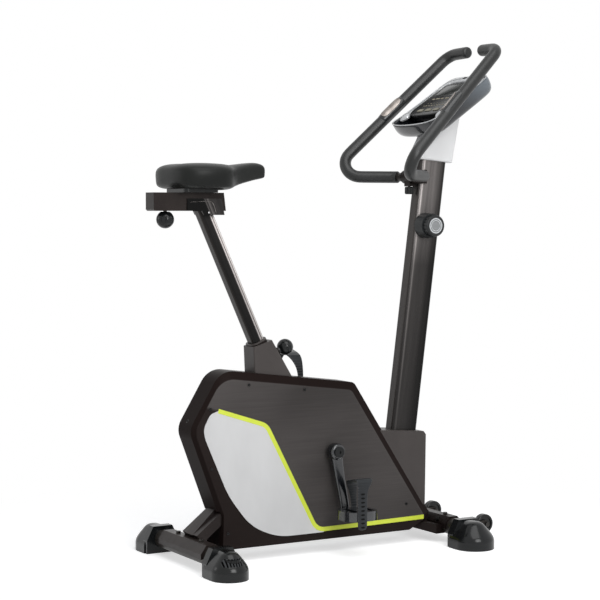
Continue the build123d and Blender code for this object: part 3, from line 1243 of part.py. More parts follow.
def make_clamp_bracket():
    """Block on the post's rear face that holds the handlebar."""
    reach = BAR_R + CLAMP_WALL
    along = (BAR_Z - MAST_Z) / math.cos(math.radians(MAST_LEAN))
    x_face, _ = on_mast(along, -MAST_DEPTH / 2)
    block = box(BAR_X, x_face + 16, -CLAMP_HALF, CLAMP_HALF, BAR_Z - reach, BAR_Z + reach)
    block += cylinder_y(reach, -CLAMP_HALF, CLAMP_HALF, BAR_X, BAR_Z)
    block += box(BAR_X - 15, BAR_X + 5, -14, 14, BAR_Z - reach - 8, BAR_Z)
    block -= cylinder_y(BAR_R + 0.1, -CLAMP_HALF - 1, CLAMP_HALF + 1, BAR_X, BAR_Z)
    block -= Pos(BAR_X - CLAMP_KNOB_BACK, 0, BAR_Z - reach) * Cylinder(4 + RUN_FIT, 30)
    return block - MAST_FRAME * Pos(0, 0, 300) * rounded_bar(MAST_DEPTH, MAST_WIDTH, 260, MAST_ROUND)


def make_clamp_knob():
    """Knob that tightens the handlebar clamp."""
    bottom_of_block = BAR_Z - BAR_R - CLAMP_WALL - 8
    top = bottom_of_block - 1
    knob = Pos(0, 0, top - CLAMP_KNOB_H / 2) * Cylinder(CLAMP_KNOB_R, CLAMP_KNOB_H)
    knob = fillet(knob.edges().filter_by(GeomType.CIRCLE), 4)
    for i in range(6):
        angle = 2 * math.pi * i / 6
        x = (CLAMP_KNOB_R + 3) * math.cos(angle)
        y = (CLAMP_KNOB_R + 3) * math.sin(angle)
        knob -= Pos(x, y, top - CLAMP_KNOB_H / 2) * Cylinder(5, CLAMP_KNOB_H + 2)
    stud = Pos(0, 0, top + 5) * Cylinder(4, 12)
    return Pos(BAR_X - CLAMP_KNOB_BACK, 0, 0) * (knob + stud)


def make_top_cover():
    """Pale cover from the top of the post up to the console."""
    low_rear = (BAR_X + TOP_COVER_REAR, BAR_Z + TOP_COVER_LIFT)
    low_front = (BAR_X + TOP_COVER_FRONT, BAR_Z + TOP_COVER_FRONT_LIFT)
    knee = (BAR_X + TOP_COVER_KNEE, BAR_Z + TOP_COVER_KNEE_LIFT)
    high_front = on_console(84, -bowl_depth(84) - 0.3)
    high_rear = on_console(-88, -bowl_depth(-88) - 0.1)
    outline = [low_rear, low_front, knee, high_front, high_rear]
    cover = prism_y(outline, -TOP_COVER_HALF, TOP_COVER_HALF)
    cover = fillet(cover.edges().filter_by(lambda e: e.length > 60 and abs(e.center().Y) > 20), 6)
    hollow = edge_offset(outline, [-PLASTIC_WALL] * 5)
    half = TOP_COVER_HALF - PLASTIC_WALL
    cover -= prism_y(hollow, -half, half)
    return cover - MAST_FRAME * Pos(0, 0, 300) * rounded_bar(
        MAST_DEPTH, MAST_WIDTH, MAST_TOP - 300, MAST_ROUND)


def console_outline(inset):
    """Plan of the console in its own plane: X up the face, Y across."""
    low = CONSOLE_HALF_LOW * 0.55
    corners = [(CONSOLE_LOW, -low), (CONSOLE_TIP, -CONSOLE_HALF_LOW), (CONSOLE_HIGH, -CONSOLE_HALF_HIGH),
               (CONSOLE_HIGH, CONSOLE_HALF_HIGH), (CONSOLE_TIP, CONSOLE_HALF_LOW), (CONSOLE_LOW, low)]
    moved = edge_offset(corners, [-inset] * len(corners))
    rounds = [30, 14, 34, 34, 14, 30]
    return FilletPolyline(*[(x, y, 0) for x, y in moved], radius=rounds, close=True)


def bowl_slope():
    """How fast the console's bowl deepens up the face."""
    return (CONSOLE_DEPTH - CONSOLE_LOW_DEPTH) / (CONSOLE_HIGH - CONSOLE_LOW)


def bowl_depth(along):
    """Depth of the console's bowl at a distance up the face."""
    return (CONSOLE_DEPTH + CONSOLE_LOW_DEPTH) / 2 + along * bowl_slope()


def bowl(inset):
    """Closed bowl under the console's face, deeper at its upper end."""
    top = make_face(console_outline(inset))
    tilt = math.degrees(math.atan(bowl_slope()))
    floor = Pos(0, 0, inset - bowl_depth(0)) * Rot(0, tilt, 0) * make_face(console_outline(inset + 16))
    return loft([top, floor], ruled=True)


def make_console_shell():
    """Rear shell of the console."""
    return CONSOLE_FRAME * (bowl(0) - bowl(PLASTIC_WALL))


def display_outline(inset):
    """Plan of the dark display block."""
    top = DISPLAY_HIGH
    low, high = DISPLAY_HALF_LOW, DISPLAY_HALF_HIGH
    corners = [(DISPLAY_LOW, -low * 0.55), (DISPLAY_LOW + 14, -low), (top, -high),
               (top, high), (DISPLAY_LOW + 14, low), (DISPLAY_LOW, low * 0.55)]
    moved = edge_offset(corners, [-inset] * len(corners))
    return FilletPolyline(*[(x, y, 0) for x, y in moved], radius=14, close=True)


def hood():
    """Raised hood of the silver rim, behind the display's upper edge."""
    side = [(DISPLAY_HIGH + 1, 0), (CONSOLE_HIGH - 3, 0), (CONSOLE_HIGH - 3, BEZEL_THICK + 2),
            (CONSOLE_HIGH - 14, HOOD_RISE), (DISPLAY_HIGH + 6, HOOD_RISE), (DISPLAY_HIGH + 1, HOOD_RISE - 4)]
    return prism_y(side, -HOOD_HALF, HOOD_HALF)


def make_console_bezel():
    """Silver rim of the console."""
    plate = extrude(make_face(console_outline(0)), amount=BEZEL_THICK)
    plate -= extrude(make_face(display_outline(-0.3)), amount=BEZEL_THICK)
    low_edge, high_edge = CONSOLE_LOW + 14, DISPLAY_LOW - 8
    tray = [(low_edge, -52), (low_edge + 14, -88), (high_edge, -84), (high_edge, 84), (low_edge + 14, 88),
            (low_edge, 52)]
    well = make_face(FilletPolyline(*[(x, y, BEZEL_THICK) for x, y in tray], radius=8, close=True))
    plate -= extrude(well, amount=1.5 - BEZEL_THICK, dir=(0, 0, 1))
    lip = make_face(console_outline(0)) - make_face(console_outline(4))
    ledge = extrude(lip, amount=BEZEL_THICK + 7) & (Pos(CONSOLE_LOW + 20, 0, 8) * Box(80, 300, 30))
    return CONSOLE_FRAME * (plate + ledge + hood())


def key_places():
    """Centres of the keys across the display's lower part."""
    return [(DISPLAY_LOW + 24, (i - 1) * KEY_PITCH) for i in range(3)]


def make_console_display():
    """Dark display block with a pocket for each key and a window for the screen."""
    block = extrude(make_face(display_outline(0)), amount=DISPLAY_RISE)
    window = Pos(DISPLAY_HIGH - 56, 0, DISPLAY_RISE) * Box(86, 140, 3)
    block -= window
    for x, y in key_places():
        block -= Pos(x, y, DISPLAY_RISE) * Box(KEY_D + 2 * SLIDE_FIT, KEY_W + 2 * SLIDE_FIT, 2 * KEY_POCKET)
    return CONSOLE_FRAME * block


def make_key(index):
    """Console key, spring-backed, proud of the display."""
    x, y = key_places()[index]
    height = KEY_POCKET - KEY_TRAVEL + KEY_PROUD
    key = Pos(x, y, DISPLAY_RISE + KEY_PROUD - height / 2) * Box(KEY_D, KEY_W, height)
    return CONSOLE_FRAME * fillet(key.edges().filter_by(Axis.Z), 4)


# ---- every node -------------------------------------------------------------------------------
NODES = {
    "base_rail": make_base_rail,
    "seat_tube": make_seat_tube,
    "rear_leg": make_rear_leg,
    "rear_stabilizer": make_rear_stabilizer,
    "front_stabilizer": make_front_stabilizer,
    "frame_bolts": make_frame_bolts,
    "rear_end_cap_right": make_rear_cap,
    "rear_end_cap_left": lambda: mirrored(make_rear_cap()),
    "levelling_wheel_right": make_leveller,
    "levelling_wheel_left": lambda: mirrored(make_leveller()),
    "front_end_cap_right": make_front_cap,
    "front_end_cap_left": lambda: mirrored(make_front_cap()),
    "transport_wheel_right": lambda: make_wheel(-1),
    "transport_wheel_left": lambda: make_wheel(1),
    "crank_axle": make_crank_axle,
    "shaft_bearings": make_bearings,
    "crank_arm_right": lambda: make_crank_arm(-1),
    "crank_arm_left": lambda: make_crank_arm(1),
    "crank_bolts": make_crank_bolts,
    "pedal_spindles": make_pedal_spindles,
    "pedal_right": lambda: make_pedal(-1),
    "pedal_left": lambda: make_pedal(1),
    "pedal_strap_right": lambda: make_pedal_strap(-1),
    "pedal_strap_left": lambda: make_pedal_strap(1),
    "drive_pulley": make_drive_pulley,
    "drive_belt": make_drive_belt,
    "flywheel": make_flywheel,
    "flywheel_axle": make_flywheel_axle,
    "magnet_arm": make_magnet_arm,
    "tension_cable": make_tension_cable,
    "casing_right": make_case_right,
    "casing_left": lambda: mirrored(make_case_right()),
    "side_panels": make_side_panels,
    "trim_stripes": make_trim_stripes,
    "casing_screws": make_case_screws,
    "power_jack": make_power_jack,
    "seat_tube_cover": make_seat_cover,
    "post_base_cover": make_base_cover,
    "seat_post": make_seat_post,
    "seat_post_bushing": make_bushing,
    "height_knob": make_height_knob,
    "saddle_slider": make_saddle_slider,
    "saddle_knob": make_saddle_knob,
    "saddle_pan": make_saddle_pan,
    "saddle": make_saddle,
    "handlebar_post": make_handlebar_post,
    "tension_knob_base": make_tension_base,
    "tension_dial": make_tension_dial,
    "handlebar": make_handlebar,
    "foam_grips": make_grips,
    "pulse_plates": make_pulse_plates,
    "handlebar_clamp": make_clamp_bracket,
    "clamp_knob": make_clamp_knob,
    "post_top_cover": make_top_cover,
    "console_shell": make_console_shell,
    "console_bezel": make_console_bezel,
    "console_display": make_console_display,
    "console_key_left": lambda: make_key(2),
    "console_key_middle": lambda: make_key(1),
    "console_key_right": lambda: make_key(0),
}


def write_nodes():
    """Write one STEP file per node."""
    for name, make in NODES.items():
        shape = make()
        if isinstance(shape, (list, tuple)):
            shape = Compound(children=[piece.solid() for piece in shape])
        export_step(shape, f"parts/{name}.step")


write_nodes()
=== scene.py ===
import bpy
import bmesh
import math
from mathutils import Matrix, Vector


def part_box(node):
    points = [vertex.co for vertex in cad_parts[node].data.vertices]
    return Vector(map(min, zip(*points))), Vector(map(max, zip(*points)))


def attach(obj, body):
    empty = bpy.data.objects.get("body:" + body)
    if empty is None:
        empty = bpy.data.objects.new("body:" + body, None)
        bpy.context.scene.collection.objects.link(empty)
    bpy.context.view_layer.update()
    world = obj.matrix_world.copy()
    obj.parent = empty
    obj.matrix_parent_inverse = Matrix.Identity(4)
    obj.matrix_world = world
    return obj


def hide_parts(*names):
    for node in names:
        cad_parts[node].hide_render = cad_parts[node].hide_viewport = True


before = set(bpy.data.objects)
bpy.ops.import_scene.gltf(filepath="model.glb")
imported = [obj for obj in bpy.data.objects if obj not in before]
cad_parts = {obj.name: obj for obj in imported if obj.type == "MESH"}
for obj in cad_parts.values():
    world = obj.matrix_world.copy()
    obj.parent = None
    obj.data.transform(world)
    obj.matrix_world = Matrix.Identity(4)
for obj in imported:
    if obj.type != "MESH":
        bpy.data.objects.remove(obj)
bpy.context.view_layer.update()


# ---- Room -------------------------------------------------------------------------------------
# A pale floor under a white studio, lit by three large soft lamps and an even pale sky. The
# camera stands behind the bike's right side, a little below the saddle, with a long lens.
EYE = Vector((-2.452, -4.115, 0.954))
EYE_HEADING = math.radians(30.0)
EYE_DROP = math.radians(2.963)
LENS = 102.0

eye_data = bpy.data.cameras.new("eye")
eye_data.lens = LENS
eye_data.sensor_width = 36.0
eye_data.clip_end = 60.0
eye = bpy.data.objects.new("eye", eye_data)
bpy.context.scene.collection.objects.link(eye)
eye.location = EYE
eye.rotation_euler = (math.pi / 2 - EYE_DROP, 0.0, -EYE_HEADING)
bpy.context.scene.camera = eye


def reckon(tree, operation, *values):
    """Outcome of a sum on one, two or three values."""
    work = tree.nodes.new("ShaderNodeMath")
    work.operation = operation
    for spot, value in zip(work.inputs, values):
        if isinstance(value, float):
            spot.default_value = value
        else:
            tree.links.new(value, spot)
    return work.outputs[0]


def place_reckon(tree, operation, place, other=None):
    """Outcome of a sum on a place, and on a fixed second one if given."""
    work = tree.nodes.new("ShaderNodeVectorMath")
    work.operation = operation
    tree.links.new(place, work.inputs[0])
    if other is not None:
        work.inputs[1].default_value = other
    return work.outputs["Value" if operation in ("LENGTH", "DOT_PRODUCT") else "Vector"]


def ramped(tree, value, start, end, foot=0.0, curve="LINEAR"):
    """Share that rises from foot to one between start and end."""
    ranging = tree.nodes.new("ShaderNodeMapRange")
    ranging.interpolation_type = curve
    ranging.inputs["From Min"].default_value = start
    ranging.inputs["From Max"].default_value = end
    ranging.inputs["To Min"].default_value = foot
    tree.links.new(value, ranging.inputs["Value"])
    return ranging.outputs["Result"]


def mixed_light(tree, share, first, second):
    """Two shaders mixed, the second by its share."""
    mix = tree.nodes.new("ShaderNodeMixShader")
    for spot, source in zip(mix.inputs, (share, first.outputs[0], second.outputs[0])):
        tree.links.new(source, spot)
    return mix


def plain_look(tree):
    """One for what the eye meets straight, mirrored or through glass, nothing for other light."""
    seen = tree.nodes.new("ShaderNodeLightPath")
    total = seen.outputs["Is Camera Ray"]
    for other in ("Is Glossy Ray", "Is Transmission Ray"):
        total = reckon(tree, "MAXIMUM", total, seen.outputs[other])
    return total


def new_piece(name, shape, finish):
    """Piece in the scene from a finished shape."""
    data = bpy.data.meshes.new(name)
    shape.to_mesh(data)
    shape.free()
    data.materials.append(finish)
    piece = bpy.data.objects.new(name, data)
    bpy.context.scene.collection.objects.link(piece)
    return piece


# the floor's paint keeps the bike's soft shadow and turns to plain white a little way off
floor_paint = bpy.data.materials.new("floor_paint")
floor_paint.use_nodes = True
tree = floor_paint.node_tree
tree.nodes.clear()
matt = tree.nodes.new("ShaderNodeBsdfDiffuse")
matt.inputs["Color"].default_value = (0.84, 0.84, 0.84, 1.0)
lift = tree.nodes.new("ShaderNodeEmission")
lift.inputs["Strength"].default_value = 0.55
near = tree.nodes.new("ShaderNodeAddShader")
tree.links.new(matt.outputs[0], near.inputs[0])
tree.links.new(lift.outputs[0], near.inputs[1])
blank = tree.nodes.new("ShaderNodeEmission")
blank.inputs["Strength"].default_value = 1.0
spot = tree.nodes.new("ShaderNodeTexCoord").outputs["Object"]
WHITE_FROM = 0.55
WHITE_BY = 1.3
fade = ramped(tree, place_reckon(tree, "LENGTH", spot), WHITE_FROM, WHITE_BY, curve="SMOOTHSTEP")
choice = mixed_light(tree, plain_look(tree), matt, mixed_light(tree, fade, near, blank))
floor_out = tree.nodes.new("ShaderNodeOutputMaterial")
tree.links.new(choice.outputs[0], floor_out.inputs["Surface"])

FLOOR_HALF = 9.0
floor_shape = bmesh.new()
bmesh.ops.create_grid(floor_shape, x_segments=2, y_segments=2, size=FLOOR_HALF)
floor = new_piece("studio_floor", floor_shape, floor_paint)

sky = bpy.data.worlds.new("studio_sky")
sky.use_nodes = True
bpy.context.scene.world = sky
tree = sky.node_tree
tree.nodes.clear()
even = tree.nodes.new("ShaderNodeBackground")
even.inputs["Color"].default_value = (0.95, 0.97, 1.0, 1.0)
even.inputs["Strength"].default_value = 0.36
white = tree.nodes.new("ShaderNodeBackground")
white.inputs["Color"].default_value = (1.0, 1.0, 1.0, 1.0)
white.inputs["Strength"].default_value = 1.0
choice = mixed_light(tree, plain_look(tree), even, white)
sky_out = tree.nodes.new("ShaderNodeOutputWorld")
tree.links.new(choice.outputs[0], sky_out.inputs["Surface"])

# each lamp: where it stands, what it is aimed at, width in metres, power in watts
LAMPS = {
    "lamp_over": ((-0.2, -1.6, 3.4), (0.0, 0.0, 0.4), 2.4, 44.0),
    "lamp_right": ((-0.3, -4.1, 2.1), (0.0, 0.0, 0.6), 2.0, 80.0),
    "lamp_rear": ((-3.2, 1.6, 1.5), (0.0, 0.0, 0.6), 1.0, 5.0),
}
for name, (place, aim, size, power) in LAMPS.items():
    lamp = bpy.data.lights.new(name, "AREA")
    lamp.shape = "SQUARE"
    lamp.size = size
    lamp.energy = power
    stand = bpy.data.objects.new(name, lamp)
    bpy.context.scene.collection.objects.link(stand)
    stand.location = place
    stand.rotation_euler = (Vector(aim) - Vector(place)).to_track_quat("-Z", "Y").to_euler()

bpy.context.scene.view_settings.view_transform = "Standard"


# ---- Welded frame -----------------------------------------------------------------------------
# Steel tubes and folded plates: base rail, seat tube and rear leg are welded together, and the
# two cross bars are bolted on. They, the handlebar clamp and the saddle carrier are sprayed in
# brown-black metallic enamel, in three slightly different shades.
def start_finish(name, rough=0.4, metal=0.0):
    """New finish with its shader and the object's own coordinates, in metres."""
    finish = bpy.data.materials.new(name)
    finish.use_nodes = True
    shader = finish.node_tree.nodes["Principled BSDF"]
    shader.inputs["Roughness"].default_value = rough
    shader.inputs["Metallic"].default_value = metal
    place = finish.node_tree.nodes.new("ShaderNodeTexCoord").outputs["Object"]
    return finish, shader, place


def stretched(tree, place, factors):
    """The same coordinates, scaled along each axis."""
    scaling = tree.nodes.new("ShaderNodeMapping")
    scaling.inputs["Scale"].default_value = factors
    tree.links.new(place, scaling.inputs["Vector"])
    return scaling.outputs["Vector"]


def clouds(tree, place, scale, detail=3.0):
    """Soft irregular patches, scale of them to the metre."""
    noise = tree.nodes.new("ShaderNodeTexNoise")
    noise.inputs["Scale"].default_value = scale
    noise.inputs["Detail"].default_value = detail
    tree.links.new(place, noise.inputs["Vector"])
    return noise.outputs["Fac"]


def two_tone(tree, value, dark, light, low=0.35, high=0.65):
    """Colour that runs from dark to light as the value rises."""
    ramp = tree.nodes.new("ShaderNodeValToRGB")
    ramp.color_ramp.elements[0].position = low
    ramp.color_ramp.elements[0].color = (*dark, 1.0)
    ramp.color_ramp.elements[1].position = high
    ramp.color_ramp.elements[1].color = (*light, 1.0)
    tree.links.new(value, ramp.inputs["Fac"])
    return ramp.outputs["Color"]


def spread(tree, value, low, high):
    """The value spread over a new range."""
    ranging = tree.nodes.new("ShaderNodeMapRange")
    ranging.inputs["To Min"].default_value = low
    ranging.inputs["To Max"].default_value = high
    tree.links.new(value, ranging.inputs["Value"])
    return ranging.outputs["Result"]


def relief(tree, value, depth, strength=1.0, under=None):
    """Surface relief of the given depth in metres."""
    bump = tree.nodes.new("ShaderNodeBump")
    bump.inputs["Distance"].default_value = depth
    bump.inputs["Strength"].default_value = strength
    tree.links.new(value, bump.inputs["Height"])
    if under is not None:
        tree.links.new(under, bump.inputs["Normal"])
    return bump.outputs["Normal"]


def dress(finish, *names):
    """Gives carried-over solids their finish."""
    for name in names:
        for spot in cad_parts[name].material_slots:
            spot.material = finish


def enamel(name, dark, light, rough, flake=0.2, gloss=0.25, coat=0.12):
    """Sprayed metallic enamel: fine flake, soft mottling and a little orange peel."""
    finish, shader, place = start_finish(name, rough, flake)
    tree = finish.node_tree
    mottle = clouds(tree, place, 9.0, 4.0)
    tree.links.new(two_tone(tree, mottle, dark, light), shader.inputs["Base Color"])
    wear = clouds(tree, place, 60.0)
    tree.links.new(spread(tree, wear, rough - 0.08, rough + 0.1), shader.inputs["Roughness"])
    tree.links.new(relief(tree, clouds(tree, place, 420.0), 0.00012, 0.35), shader.inputs["Normal"])
    shader.inputs["Specular IOR Level"].default_value = gloss
    shader.inputs["Coat Weight"].default_value = coat
    shader.inputs["Coat Roughness"].default_value = 0.14
    return finish


frame_enamel = enamel("frame_enamel", (0.02, 0.017, 0.015), (0.034, 0.03, 0.026), 0.38, gloss=0.16,
                      coat=0.05)
dress(frame_enamel, "rear_stabilizer", "front_stabilizer")
plate_enamel = enamel("plate_enamel", (0.0085, 0.0058, 0.0052), (0.015, 0.0105, 0.0095), 0.36,
                      gloss=0.1, coat=0.04)
dress(plate_enamel, "base_rail", "seat_tube", "handlebar_clamp")
leg_enamel = enamel("leg_enamel", (0.016, 0.0115, 0.0105), (0.026, 0.02, 0.018), 0.34, gloss=0.14,
                    coat=0.06)
dress(leg_enamel, "rear_leg", "saddle_slider")


# ---- Bolts and shafts -------------------------------------------------------------------------
# Zinc-plated shafts, bearings and pins, turned or cold headed, with fine turning marks in their
# soft grey plating. The frame's bolts and the rollers' pins are blacked.
def plated(name, dark, light, rough):
    """Bright plated steel with fine turning marks."""
    finish, shader, place = start_finish(name, rough, 1.0)
    tree = finish.node_tree
    tree.links.new(two_tone(tree, clouds(tree, place, 70.0), dark, light), shader.inputs["Base Color"])
    marks = clouds(tree, stretched(tree, place, (1.0, 14.0, 1.0)), 500.0, 2.0)
    tree.links.new(spread(tree, marks, rough - 0.1, rough + 0.12), shader.inputs["Roughness"])
    tree.links.new(relief(tree, marks, 0.00005, 0.4), shader.inputs["Normal"])
    return finish


zinc = plated("zinc_plate", (0.4, 0.4, 0.41), (0.62, 0.62, 0.62), 0.3)
dress(zinc, "crank_axle", "shaft_bearings", "pedal_spindles", "flywheel_axle", "magnet_arm")
blacked = plated("blacked_steel", (0.03, 0.028, 0.026), (0.07, 0.066, 0.062), 0.32)
dress(blacked, "frame_bolts")


# ---- Feet and rollers -------------------------------------------------------------------------
# Hollow end caps pushed over the cross bars, the levelling wheels let into the rear pair, and
# two rollers at the front for moving the bike. They are moulded in glossy black nylon, like the
# knobs that lock the saddle, the seat post and the handlebar.
def moulding(name, dark, light, rough, grain=900.0, depth=0.00006, coat=0.0, gloss=0.25):
    """Injection moulding: faint flow marks and a fine spark-eroded grain."""
    finish, shader, place = start_finish(name, rough)
    tree = finish.node_tree
    broad_patches = clouds(tree, stretched(tree, place, (1.0, 1.0, 0.4)), 7.0, 4.0)
    tree.links.new(two_tone(tree, broad_patches, dark, light), shader.inputs["Base Color"])
    fine = clouds(tree, place, grain, 2.0)
    wear = clouds(tree, place, 45.0)
    tree.links.new(spread(tree, wear, rough - 0.05, rough + 0.07), shader.inputs["Roughness"])
    tree.links.new(relief(tree, fine, depth, 0.5), shader.inputs["Normal"])
    shader.inputs["Specular IOR Level"].default_value = gloss
    shader.inputs["Coat Weight"].default_value = coat
    shader.inputs["Coat Roughness"].default_value = 0.08
    return finish


black_nylon = moulding("black_nylon", (0.0035, 0.0042, 0.0042), (0.008, 0.009, 0.0098), 0.19,
                       coat=0.16, gloss=0.22)
dress(black_nylon, "front_end_cap_right", "front_end_cap_left", "levelling_wheel_right",
      "levelling_wheel_left", "transport_wheel_right", "transport_wheel_left", "saddle_knob",
      "height_knob", "clamp_knob")


def along_axis(tree, place, axis):
    """One coordinate of a place."""
    parts = tree.nodes.new("ShaderNodeSeparateXYZ")
    tree.links.new(place, parts.inputs["Vector"])
    return parts.outputs[axis]


def blended(tree, share, first, second):
    """Colour that runs from the first to the second as the share rises."""
    blend = tree.nodes.new("ShaderNodeMix")
    blend.data_type = "RGBA"
    tree.links.new(share, blend.inputs["Factor"])
    tree.links.new(first, blend.inputs[6])
    if isinstance(second, tuple):
        blend.inputs[7].default_value = second
    else:
        tree.links.new(second, blend.inputs[7])
    return blend.outputs[2]


def base_colour(shader):
    """Where the shader's colour comes from now."""
    return shader.inputs["Base Color"].links[0].from_socket


# the ribbed window in the dome of each rear cap, behind which the levelling wheel turns, is painted
# on the cap: painted shade for its dark recess and painted highlights on the wheel's pale ribs
WINDOW_MIDDLE = (-0.43, 0.262, 0.049)
WINDOW_HALF = (0.027, 0.014, 0.0095)
# share of those half lengths at which the window has ended, and by which it is fully there
WINDOW_EDGE = (1.04, 0.92)
RIBS_PER_METRE = 128.0
# the wave texture turns through 20 radians a metre at a scale of one
WAVES_PER_SCALE = 20.0 / (2.0 * math.pi)

windowed_nylon = black_nylon.copy()
windowed_nylon.name = "windowed_nylon"
tree = windowed_nylon.node_tree
shader = tree.nodes["Principled BSDF"]
place = tree.nodes.new("ShaderNodeTexCoord").outputs["Object"]
folded = place_reckon(tree, "ABSOLUTE", place)
away = place_reckon(tree, "SUBTRACT", folded, (-WINDOW_MIDDLE[0], WINDOW_MIDDLE[1], WINDOW_MIDDLE[2]))
share = place_reckon(tree, "DIVIDE", away, WINDOW_HALF)
within = []
for axis in ("X", "Y", "Z"):
    size = reckon(tree, "ABSOLUTE", along_axis(tree, share, axis))
    within.append(ramped(tree, size, *WINDOW_EDGE))
inside = reckon(tree, "MULTIPLY", reckon(tree, "MULTIPLY", within[0], within[1]), within[2])
ribs = tree.nodes.new("ShaderNodeTexWave")
ribs.bands_direction = "X"
ribs.inputs["Scale"].default_value = RIBS_PER_METRE / WAVES_PER_SCALE
tree.links.new(folded, ribs.inputs["Vector"])
# pale ribs over near-black: painted highlights on the wheel's ribs over painted shade in the recess
rib_shade_and_highlight = two_tone(tree, ribs.outputs["Fac"], (0.0015, 0.0015, 0.0015), (0.06, 0.062, 0.064), 0.3, 0.7)
tree.links.new(blended(tree, inside, base_colour(shader), rib_shade_and_highlight), shader.inputs["Base Color"])
tree.links.new(spread(tree, inside, 0.2, 0.6), shader.inputs["Roughness"])
tree.links.new(spread(tree, inside, 0.14, 0.0), shader.inputs["Coat Weight"])
tree.links.new(spread(tree, inside, 0.25, 0.0), shader.inputs["Specular IOR Level"])
dress(windowed_nylon, "rear_end_cap_right", "rear_end_cap_left")


# ---- Drive inside the casing ------------------------------------------------------------------
# A moulded pulley turns with the cranks and drives the flywheel through a ribbed rubber belt.
# A steel arm with magnets brakes the flywheel, pulled by a cable from the post.
pulley_nylon = moulding("pulley_nylon", (0.05, 0.05, 0.05), (0.07, 0.07, 0.07), 0.45)
dress(pulley_nylon, "drive_pulley")

belt_rubber = moulding("belt_rubber", (0.018, 0.018, 0.018), (0.028, 0.028, 0.028), 0.7, 1400.0, 0.0001)
dress(belt_rubber, "drive_belt")

turned_iron = plated("turned_iron", (0.2, 0.2, 0.21), (0.33, 0.33, 0.34), 0.38)
dress(turned_iron, "flywheel")

cable_sheath = moulding("cable_sheath", (0.014, 0.014, 0.015), (0.022, 0.022, 0.023), 0.4, 1500.0)
dress(cable_sheath, "tension_cable")


# ---- Cranks -----------------------------------------------------------------------------------
# Forged steel arms on the axle's taper, drawn in from a thick round hub and bent outward to the
# pedal eye. They are sprayed glossy black, with a dark pressed cap over each axle bolt.
def skin_over(name, rings, finish, rounds=2, looped=False):
    """Closed smooth piece drawn over a row of rings that have the same count of points."""
    shape = bmesh.new()
    rows = [[shape.verts.new(point) for point in ring] for ring in rings]
    count = len(rows[0])
    pairs = list(zip(rows, rows[1:]))
    if looped:
        pairs.append((rows[-1], rows[0]))
    for ring, following in pairs:
        for i in range(count):
            j = (i + 1) % count
            shape.faces.new((ring[i], ring[j], following[j], following[i]))
    if not looped:
        shape.faces.new(rows[0])
        shape.faces.new(rows[-1])
    bmesh.ops.recalc_face_normals(shape, faces=shape.faces[:])
    for face in shape.faces:
        face.smooth = True
    piece = new_piece(name, shape, finish)
    if rounds:
        smooth = piece.modifiers.new("smooth", "SUBSURF")
        smooth.levels = rounds
        smooth.render_levels = rounds
    return piece


def oval(half_a, half_b, count, power=2.0):
    """Points round a closed curve between an ellipse and a rectangle."""
    points = []
    for k in range(count):
        turn = 2 * math.pi * k / count
        a = math.copysign(abs(math.cos(turn)) ** (2 / power), math.cos(turn))
        b = math.copysign(abs(math.sin(turn)) ** (2 / power), math.sin(turn))
        points.append((half_a * a, half_b * b))
    return points


def turned_piece(name, centre, side, profile, finish, count=32):
    """Piece turned about a level axis across the bike: distance out from the middle, radius."""
    rings = []
    for out, radius in profile:
        circle = oval(radius, radius, count)
        rings.append([Vector((centre.x + a, side * out, centre.z + b)) for a, b in circle])
    return skin_over(name, rings, finish, 1)


AXLE = Vector((-0.005, 0.0, 0.286))
# the hub, from the casing outward: distance out from the middle, radius
HUB_PROFILE = [(0.0605, 0.01), (0.0605, 0.0185), (0.0625, 0.0222), (0.068, 0.024), (0.078, 0.024),
               (0.086, 0.0236), (0.0915, 0.0215), (0.0935, 0.0185), (0.0938, 0.016)]
# down the arm from the axle: distance, distance out from the middle, half width, half thickness
ARM_STATIONS = [
    (0.01, 0.079, 0.019, 0.0085), (0.022, 0.0785, 0.0182, 0.008), (0.04, 0.0785, 0.0168, 0.0068),
    (0.07, 0.08, 0.0158, 0.0062), (0.1, 0.0825, 0.015, 0.006), (0.13, 0.0855, 0.0146, 0.006),
    (0.155, 0.0872, 0.0142, 0.0062), (0.168, 0.0875, 0.0138, 0.0062), (0.177, 0.0875, 0.011, 0.006),
    (0.1815, 0.0875, 0.0055, 0.0045)]
crank_black = enamel("crank_black", (0.008, 0.009, 0.011), (0.016, 0.019, 0.023), 0.16, 0.4, 0.5, 1.0)
for side, name in ((-1, "right"), (1, "left")):
    low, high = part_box("pedal_" + name)
    eye_place = (low + high) / 2
    down = Vector((eye_place.x - AXLE.x, 0.0, eye_place.z - AXLE.z)).normalized()
    across = Vector((down.z, 0.0, -down.x))
    rings = []
    for along, out, half, thin in ARM_STATIONS:
        middle = AXLE + down * along + Vector((0.0, side * out, 0.0))
        rings.append([middle + across * a + Vector((0.0, b, 0.0)) for a, b in oval(half, thin, 16, 3.0)])
    blade = skin_over("crank_blade_" + name, rings, crank_black, 2)
    hub = turned_piece("crank_hub_" + name, AXLE, side, HUB_PROFILE, crank_black)
    for piece in (blade, hub):
        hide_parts("crank_arm_" + name)
        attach(piece, "crank")
dress(black_nylon, "crank_bolts")


# ---- Pedals -----------------------------------------------------------------------------------
# Each pedal is one moulding with an open platform round its spindle barrel. The strap is soft
# black rubber: wide over the foot, narrow where it buttons onto the pedal's outer edge.
pedal_nylon = moulding("pedal_nylon", (0.01, 0.011, 0.013), (0.018, 0.02, 0.023), 0.18, 700.0,
                       0.00006, 0.9, 0.4)
dress(pedal_nylon, "pedal_right", "pedal_left")


STRAP_HALF_THICK = 0.0014
